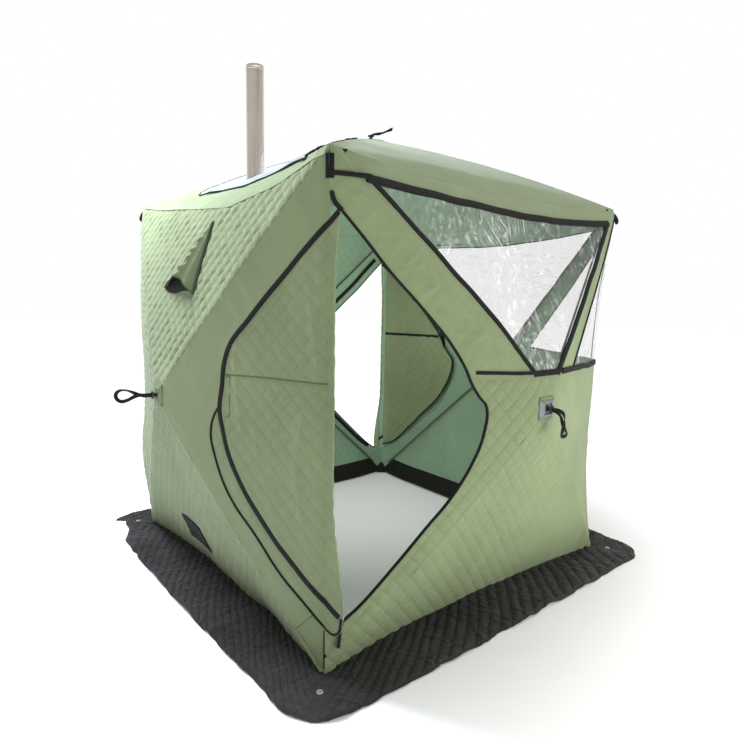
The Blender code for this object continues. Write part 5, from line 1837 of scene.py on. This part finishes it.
for k, m_, c in [(0.0, 0.002, 0.019), (0.004, 0.003, 0.027), (0.018, 0.004, 0.030), (0.040, 0.008, 0.033), (0.066, 0.014, 0.040),
                 (0.090, 0.014, 0.048), (0.108, 0.008, 0.054), (0.113, -0.004, 0.055), (0.104, -0.016, 0.049), (0.084, -0.018, 0.040),
                 (0.062, -0.012, 0.032), (0.040, -0.006, 0.027), (0.018, -0.004, 0.025), (0.003, -0.003, 0.023), (0.0, -0.002, 0.018)]:
    ROOF_LOOP.append((0.77 * k + 0.64 * m_, -0.64 * k + 0.77 * m_, c))
ROOF_TWIST = [30, 60, 90, 70, 50, 70, 90, 70, 50, 60, 80, 60, 40]
for name, f in FACES.items():
    pts, tw = (ROOF_LOOP, ROOF_TWIST) if name == "roof" else (SIDE_LOOP, SIDE_TWIST) if name in ("left", "rear_right") else (DROP_LOOP, DROP_TWIST)
    core = hub_core(f"hub_core_{name}", f)
    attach(core, f"hub_{name}_body")
    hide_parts(f"hub_{name}")
    strap_piece(f"pull_strap_{name}", f, pts, 0.0155, tw, scale=(0.80, 0.86, 0.84) if pts is SIDE_LOOP else (1, 1, 1))

    # Square reinforcement over the apex, one part on each panel.
    half = 0.046 if name != "roof" else 0.050
    for side in SIDES:
        n = 22
        rr, cc = np.meshgrid(np.linspace(0.50, 1, n), np.linspace(-1, 1, 27), indexing="ij")
        off = rr * half
        acr = cc * off
        xy = {"top": (acr, off), "bottom": (acr, -off), "xmin": (-off, acr), "xmax": (off, acr)}[side]
        X, Y = xy[0] / f.hx, xy[1] / f.hy
        P = f.at(side, X, Y)
        N = f.normal(side, X, Y, 0.002)
        edge_d = (1 - rr) * half
        w = 0.0044 + 0.0012 * smooth(0.006, 0.002, edge_d) + 0.0012 * noise(xy[0] * 60, xy[1] * 60, 4)
        P = P + N * w[..., None]
        ob, _ = grid_sheet(f"hub_patch_{name}_{f.label(side)}", P, 0.0007, 0.0014, ("patch",), np.stack([xy[0] / 0.05, xy[1] / 0.05, 0 * X], -1), normals=N)
        fix_normals(ob.data)
        trim_of(f, side, ob)

# Reflective square round the cap of the drop-strap hubs, over the green one.
for wall in ("right", "rear_left"):
    f = FACES[wall]
    for side in SIDES:
        wide = side in ("xmin", "xmax")
        rr, cc = np.meshgrid(np.linspace(0.0205, 0.049 if wide else 0.031, 14), np.linspace(-1, 1, 25), indexing="ij")
        off, acr = rr, cc * np.minimum(rr, 0.031)
        xv, yv = {"top": (acr, off), "bottom": (acr, -off), "xmin": (-off, acr), "xmax": (off, acr)}[side]
        X, Y = xv / f.hx, yv / f.hy
        P = f.at(side, X, Y)
        N = f.normal(side, X, Y, 0.002)
        P = P + N * 0.0078
        ob, _ = grid_sheet(f"reflective_patch_{wall}_{f.label(side)}", P, 0.0005, 0.0008, ("reflect",), np.stack([xv / 0.05, yv / 0.05, 0 * X], -1), normals=N)
        fix_normals(ob.data)
        trim_of(f, side, ob)

# Reinforcing seams at the foot of the front and rear corners.
def seam_on(name, face, side, yz, width=0.0034, look="stitch", lift=0.0046, thick=0.0007):
    """A stitched line given by (distance from the door's corner, height)."""
    line = dense(yz, 0.008)
    return trim_of(face, side, ribbon(name, face, side, door_xy(face, line[:, 0], line[:, 1]), width, look, lift=lift, thick=thick, sink=0.0))


for tag, fw_, sw_ in (("front", "left", "right"), ("rear", "rear_right", "rear_left")):
    a_, b_ = FACES[fw_], FACES[sw_]
    da, db = side_of(a_, "door"), side_of(b_, "door")
    seam_on(f"foot_seam_a_{tag}", a_, "bottom", [(0.262, 0.010), (0.138, 0.130)])
    seam_on(f"foot_seam_b_{tag}", a_, da, [(0.128, 0.138), (0.107, 0.158), (0.052, 0.216)])
    seam_on(f"foot_rib_b_{tag}", a_, da, [(0.108, 0.122), (0.012, 0.016)], 0.012, "plain", 0.0040, 0.0052)
    seam_on(f"foot_line_{tag}", a_, da, [(0.004, 0.172), (0.002, 0.030)], 0.0028, "binding")
    seam_on(f"foot_patch_a_{tag}", b_, db, [(0.012, 0.155), (0.080, 0.125), (0.100, 0.110)], 0.0022, "plain")
    seam_on(f"foot_patch_b_{tag}", b_, db, [(0.016, 0.120), (0.060, 0.064)], 0.0022, "plain")

# Webbing loops at the four top corners.
for tag, i, j in (("front", -1, -1), ("left", -1, 1), ("right", 1, -1), ("rear", 1, 1)):
    out = np.array([i, j, 0.0]) / math.sqrt(2)
    down = np.array([0, 0, -1.0])
    base = np.array([i * HALF, j * HALF, EAVE_Z - 0.020])
    pts = [base + out * 0.000, base + out * 0.012 + down * 0.010, base + out * 0.022 + down * 0.026, base + out * 0.026 + down * 0.042,
           base + out * 0.021 + down * 0.050, base + out * 0.017 + down * 0.042, base + out * 0.012 + down * 0.026, base + out * 0.001 + down * 0.014]
    path = spline(pts, 0.003)
    V, F, E = sweep_webbing(path, 0.011, 0.0014, None, tuple(np.cross(out, down)))
    me = mesh_from("loop", V, [np.array(F), np.array(E)], None, V / 0.02, 50)
    fix_normals(me)
    ob = add(f"corner_loop_{tag}", me, "black")
    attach(ob, "root")

# Zip pulls at the foot of each doorway.
for tag, wall in (("front", "right"), ("rear", "rear_left")):
    f = FACES[wall]
    side = side_of(f, "door")
    P = []
    for d, z in ((0.056, 0.207), (0.055, 0.190), (0.050, 0.165), (0.047, 0.135), (0.046, 0.104)):
        xy = door_xy(f, [d], [z])
        X, Y = xy[:, 0] / f.hx, xy[:, 1] / f.hy
        P.append((f.at(side, X, Y) + f.normal(side, X, Y) * (0.012 - 0.004 * (z < 0.12)))[0])
    path = spline(P, 0.005)
    V, F, E = sweep_webbing(path, 0.013, 0.0016, None, tuple(f.n))
    me = mesh_from("pull", V, [np.array(F), np.array(E)], None, V / 0.02, 50)
    fix_normals(me)
    trim_of(f, side, add(f"zip_pull_tape_{tag}", me, "black"))
    # The slider's body, one bevelled block.
    bm = bmesh.new()
    xy = door_xy(f, [0.058], [0.214])
    C = (f.at(side, xy[:, 0] / f.hx, xy[:, 1] / f.hy) + f.normal(side, xy[:, 0] / f.hx, xy[:, 1] / f.hy) * 0.008)[0]
    R = Matrix([list(f.u), list(f.v), list(f.n)]).transposed().to_4x4()
    R.translation = Vector(C)
    bmesh.ops.create_cube(bm, size=1.0, matrix=R @ Matrix.Diagonal((0.011, 0.017, 0.006, 1)))
    bmesh.ops.bevel(bm, geom=bm.edges[:], offset=0.0018, segments=3, affect="EDGES", clamp_overlap=True)
    me = bpy.data.meshes.new("slider")
    bm.to_mesh(me)
    bm.free()
    me.shade_smooth()
    me.set_sharp_from_angle(angle=math.radians(40))
    trim_of(f, side, add(f"zip_slider_{tag}", me, "ring"))

# ---------------------------------------------------------------------- skirt
skirts = []
R0, RC = 1.124, 0.190


def skirt_outer(u):
    """Outer edge of one strip in its own frame (x along, y out), mitre to mitre."""
    c = R0 - RC
    arc = RC * math.pi / 4
    total = c + arc
    s = np.abs(u) * total
    a = np.clip((s - c) / RC, 0, math.pi / 4)
    x = np.where(s < c, s, c + RC * np.sin(a))
    y = np.where(s < c, R0, c + RC * np.cos(a))
    y = y - 0.010 * smooth(0.35, 0.80, np.abs(u))
    return np.sign(u) * x, y


RIB = 0.064
LEAN = {"right": 1.0, "left": -1.7, "rear_right": -1.0, "rear_left": 1.7}
ROT = {"right": 0, "rear_right": 1, "rear_left": 2, "left": 3}
for wall, k in ROT.items():
    f = FACES[wall]
    nu, nw = 560, 44
    u, w = np.meshgrid(np.linspace(-1, 1, nu), np.linspace(0, 1, nw), indexing="ij")
    ox, oy = skirt_outer(u)
    seed = 400 + k * 10
    # Wavy outer edge.
    wob = 0.011 * noise(u * 7.0, 0.4, seed) + 0.006 * noise(u * 19.0, 0.9, seed + 1)
    wob = wob * smooth(1.0, 0.93, np.abs(u))
    oy = oy + np.where(wob > 0, wob * 0.3, wob)
    # The far left corner is drawn in where the cloth is gathered.
    if wall == "left":
        oy = oy - 0.080 * smooth(-0.62, -0.86, u) * (1 - 0.25 * smooth(-0.93, -1.0, u))
    if wall == "rear_left":
        oy = np.minimum(oy, 1.165)
    t = u * 0.9995
    foot = f.at("bottom", t, -np.ones_like(t))
    ix = foot @ f.u
    iy = foot @ f.n - 0.0015
    x = ix + (ox - ix) * w
    y = iy + (oy - iy) * w
    # Quilted channels that run slantwise across the strip, crossed by wider ones.
    sway = 0.12 * noise(u * 9.0, w * 1.5, seed + 6)
    s_along = (ix + LEAN[wall] * (y - iy)) / RIB + sway + 0.15 * w * noise(u * 5.0, 0.2, seed + 8)
    frac = s_along - np.floor(s_along)
    rib = np.clip(4 * frac * (1 - frac), 0, 1) ** 0.42
    cross = (ix - (y - iy) / LEAN[wall]) / (1.7 * RIB) + 0.12 * noise(u * 14.0, w, seed + 7)
    fc = cross - np.floor(cross)
    rib2 = np.clip(4 * fc * (1 - fc), 0, 1) ** 0.35
    ends = smooth(0.985, 0.90, np.abs(u))
    edge = smooth(0.0, 0.04, w) * smooth(1.0, 0.95, w)
    z = 0.0046 + 0.0105 * rib * (0.72 + 0.28 * rib2) * edge * (0.35 + 0.65 * ends)
    # Creases: long soft folds, then short sharp ones across the channels.
    z += 0.006 * np.maximum(fbm(x * 5.0, y * 8.0, seed + 2), -0.15) * smooth(0.02, 0.3, w)
    z += 0.009 * np.maximum(folds(x, y, 1.35, 0.22, 0.060, seed + 3, 3) - 0.5, 0) * smooth(0.0, 0.15, w)
    z += 0.0034 * (folds(x, y, 0.15, 0.06, 0.016, seed + 5, 2.5) - 0.35) * edge
    z += 0.0024 * (folds(x, y, 0.9, 0.05, 0.012, seed + 9, 2.0) - 0.4) * edge
    z += 0.010 * np.maximum(noise(u * 11, w * 0.8, seed + 4), 0) * smooth(0.6, 1.0, w) * smooth(1.0, 0.95, np.abs(u))
    if wall == "left":
        z += 0.014 * np.maximum(folds(x, y, 0.5, 0.12, 0.030, seed + 11, 3) - 0.35, 0) * smooth(-0.80, -0.92, u) * edge
    mit = smooth(1.0, 0.975, np.abs(u))
    z = 0.0050 + (z - 0.0050) * mit
    z = 0.0056 + (z - 0.0056) * smooth(0.014, 0.045, np.hypot(np.abs(x) - 0.965, y - 0.965))
    z = np.maximum(z, 0.0036)
    # It rises to meet the foot of the wall.
    z = z + 0.007 * smooth(0.09, 0.0, w)
    top = f.u * x[..., None] + f.n * y[..., None] + np.array([0, 0, 1.0]) * z[..., None]
    ex = np.hypot(np.abs(x) - 0.965, y - 0.965)
    hole = ex < 0.0040
    N = np.broadcast_to(np.array([0, 0, 1.0]), top.shape)
    lat = np.stack([s_along, cross, edge * (0.25 + 0.75 * ends)], -1)
    h = np.minimum(z - 0.0016, 0.0032) / 2
    P = top - N * h[..., None]
    ob, A = grid_sheet(f"skirt_strip_{wall}", P, h, h, ("skirt",), lat, normals=N, drop=hole)
    fix_normals(ob.data)
    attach(ob, "root")
    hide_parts(f"snow_skirt_{wall}")
    # Bound outer edge.
    edge_b = tube(f"skirt_edge_{wall}", top[::2, -1] - np.array([0, 0, 0.0006]), 0.0028, "skirt_plain", 8)
    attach(edge_b, "root")
    skirts.append((ob, A, edge_b))
# Peg eyelets on the mitres.
for i in (-1, 1):
    for j in (-1, 1):
        prof = [(0.0068, 0.0040), (0.0068, 0.0070), (0.0076, 0.0079), (0.0094, 0.0082), (0.0112, 0.0078), (0.0119, 0.0068), (0.0112, 0.0060),
                (0.0090, 0.0058), (0.0090, 0.0044), (0.0108, 0.0030), (0.0110, 0.0020), (0.0080, 0.0016)]
        ob = lathe(f"eyelet_{'n' if i < 0 else 'p'}{'n' if j < 0 else 'p'}", prof, 48, "ring", (i * 0.965, j * 0.965, 0), 50)
        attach(ob, "root")

# ------------------------------------------------------------ carried-over CAD
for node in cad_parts:
    ob = bpy.data.objects.get(node)
    if ob is None or ob.type != "MESH":
        continue
    if node.startswith("pole_"):
        for s in ob.material_slots:
            s.material = M["pole"]

# --------------------------------------------------------------- flat sizes and areas of the cloth (worked out, not kept)
for (name, label), ob in PANELS.items():
    A = areas[name, label]
    flat = (1.80, 0.953) if name != "roof" else (1.80, 0.969)
    if label == "door":
        flat = (0.36, 1.84)
    elif label == "top" and name in ("right", "rear_right"):
        flat = (0.44, 1.86)
    elif label == "corner" and name in ("right", "rear_right"):
        flat = (0.92, 1.02)
    declare(flat, A)
for door in ("front", "rear"):
    declare((1.46, 0.64), areas["flap", door])
    declare((1.44, 0.61), areas["fold", door])
declare((1.46, 0.70), A_fire)
for ob, A, edge_b in skirts:
    declare((2.13, 0.235), A)

# --------------------------------------------------------- stage, light, camera
floor_mesh = bpy.data.meshes.new("floor")
bm = bmesh.new()
bmesh.ops.create_grid(bm, x_segments=2, y_segments=2, size=40)
bm.to_mesh(floor_mesh)
bm.free()
ground = Look("pale_floor", 0.85)
ground.colour(ground.mix(ground.ramp(ground.noise(ground.coords(), 0.8, 2.0), 0.3, 0.7), (0.80, 0.80, 0.80, 1), (0.82, 0.82, 0.82, 1)))
# The studio floor is lit from below, more so away from the middle.
reach_ = ground.node("ShaderNodeVectorMath", operation="LENGTH")
ground.link(ground.coords(), reach_.inputs[0])
ground.p.inputs["Emission Color"].default_value = (1, 1, 1, 1)
ground.link(ground.ramp(reach_.outputs["Value"], 1.2, 2.2, 0.12, 0.50), ground.p.inputs["Emission Strength"])
floor = bpy.data.objects.new("stage_floor", floor_mesh)
floor_mesh.materials.append(ground.m)
bpy.context.scene.collection.objects.link(floor)

scene = bpy.context.scene
scene.view_settings.view_transform = "Standard"
world = bpy.data.worlds.new("studio")
world.use_nodes = True
bg = next(n for n in world.node_tree.nodes if n.type == "BACKGROUND")
bg.inputs["Color"].default_value = (1.0, 1.0, 1.0, 1.0)
# A white backdrop behind the tent, dimmer walls round the rest of the studio.
wt = world.node_tree
where = wt.nodes.new("ShaderNodeTexCoord")
dot = wt.nodes.new("ShaderNodeVectorMath")
dot.operation = "DOT_PRODUCT"
dot.inputs[1].default_value = (math.cos(math.radians(50.44)), math.sin(math.radians(50.44)), 0.0)
wt.links.new(where.outputs["Generated"], dot.inputs[0])
grade = wt.nodes.new("ShaderNodeMapRange")
grade.interpolation_type = "SMOOTHSTEP"
for key, value in (("From Min", 0.30), ("From Max", 0.66), ("To Min", 0.52), ("To Max", 1.0)):
    grade.inputs[key].default_value = value
wt.links.new(dot.outputs["Value"], grade.inputs["Value"])
wt.links.new(grade.outputs["Result"], bg.inputs["Strength"])
scene.world = world


def area_light(name, at, aim, size, watts, colour=(1, 1, 1)):
    data = bpy.data.lights.new(name, "AREA")
    data.shape = "DISK"
    data.size = size
    data.energy = watts
    data.color = colour
    ob = bpy.data.objects.new(name, data)
    ob.location = at
    ob.rotation_euler = (Vector(aim) - Vector(at)).to_track_quat("-Z", "Y").to_euler()
    ob.visible_camera = False
    scene.collection.objects.link(ob)
    return ob


key = area_light("key", (-1.66, 1.55, 3.4), (-0.98, -0.30, 1.6), 1.0, 205, (0.94, 1.0, 1.19))
key.visible_glossy = False
area_light("fill", (0.6, -3.2, 0.5), (0.25, -0.95, 0.5), 1.4, 46, (1.0, 1.0, 0.97)).visible_glossy = False
area_light("top", (-0.3, -0.6, 5.6), (-0.1, -0.2, 0.0), 4.0, 92)
area_light("inner", (-0.1, -0.1, 1.30), (0.3, 0.5, 1.0), 0.8, 10.5)

cam_data = bpy.data.cameras.new("camera")
cam = bpy.data.objects.new("camera", cam_data)
scene.collection.objects.link(cam)
scene.camera = cam
cam_data.sensor_width = 36.0
cam_data.lens = 571.0 * 36.0 / 743.0
yaw, pitch, roll = (math.radians(v) for v in (50.44, -6.9, 1.11))
fw = Vector((math.cos(pitch) * math.cos(yaw), math.cos(pitch) * math.sin(yaw), math.sin(pitch)))
right = fw.cross(Vector((0, 0, 1))).normalized()
upv = right.cross(fw)
r2 = right * math.cos(roll) + upv * math.sin(roll)
u2 = -right * math.sin(roll) + upv * math.cos(roll)
m = Matrix((r2, u2, -fw)).transposed().to_4x4()
m.translation = Vector((-2.0, -2.463, 1.338))
cam.matrix_world = m
cam_data.dof.use_dof = False

bpy.context.view_layer.update()
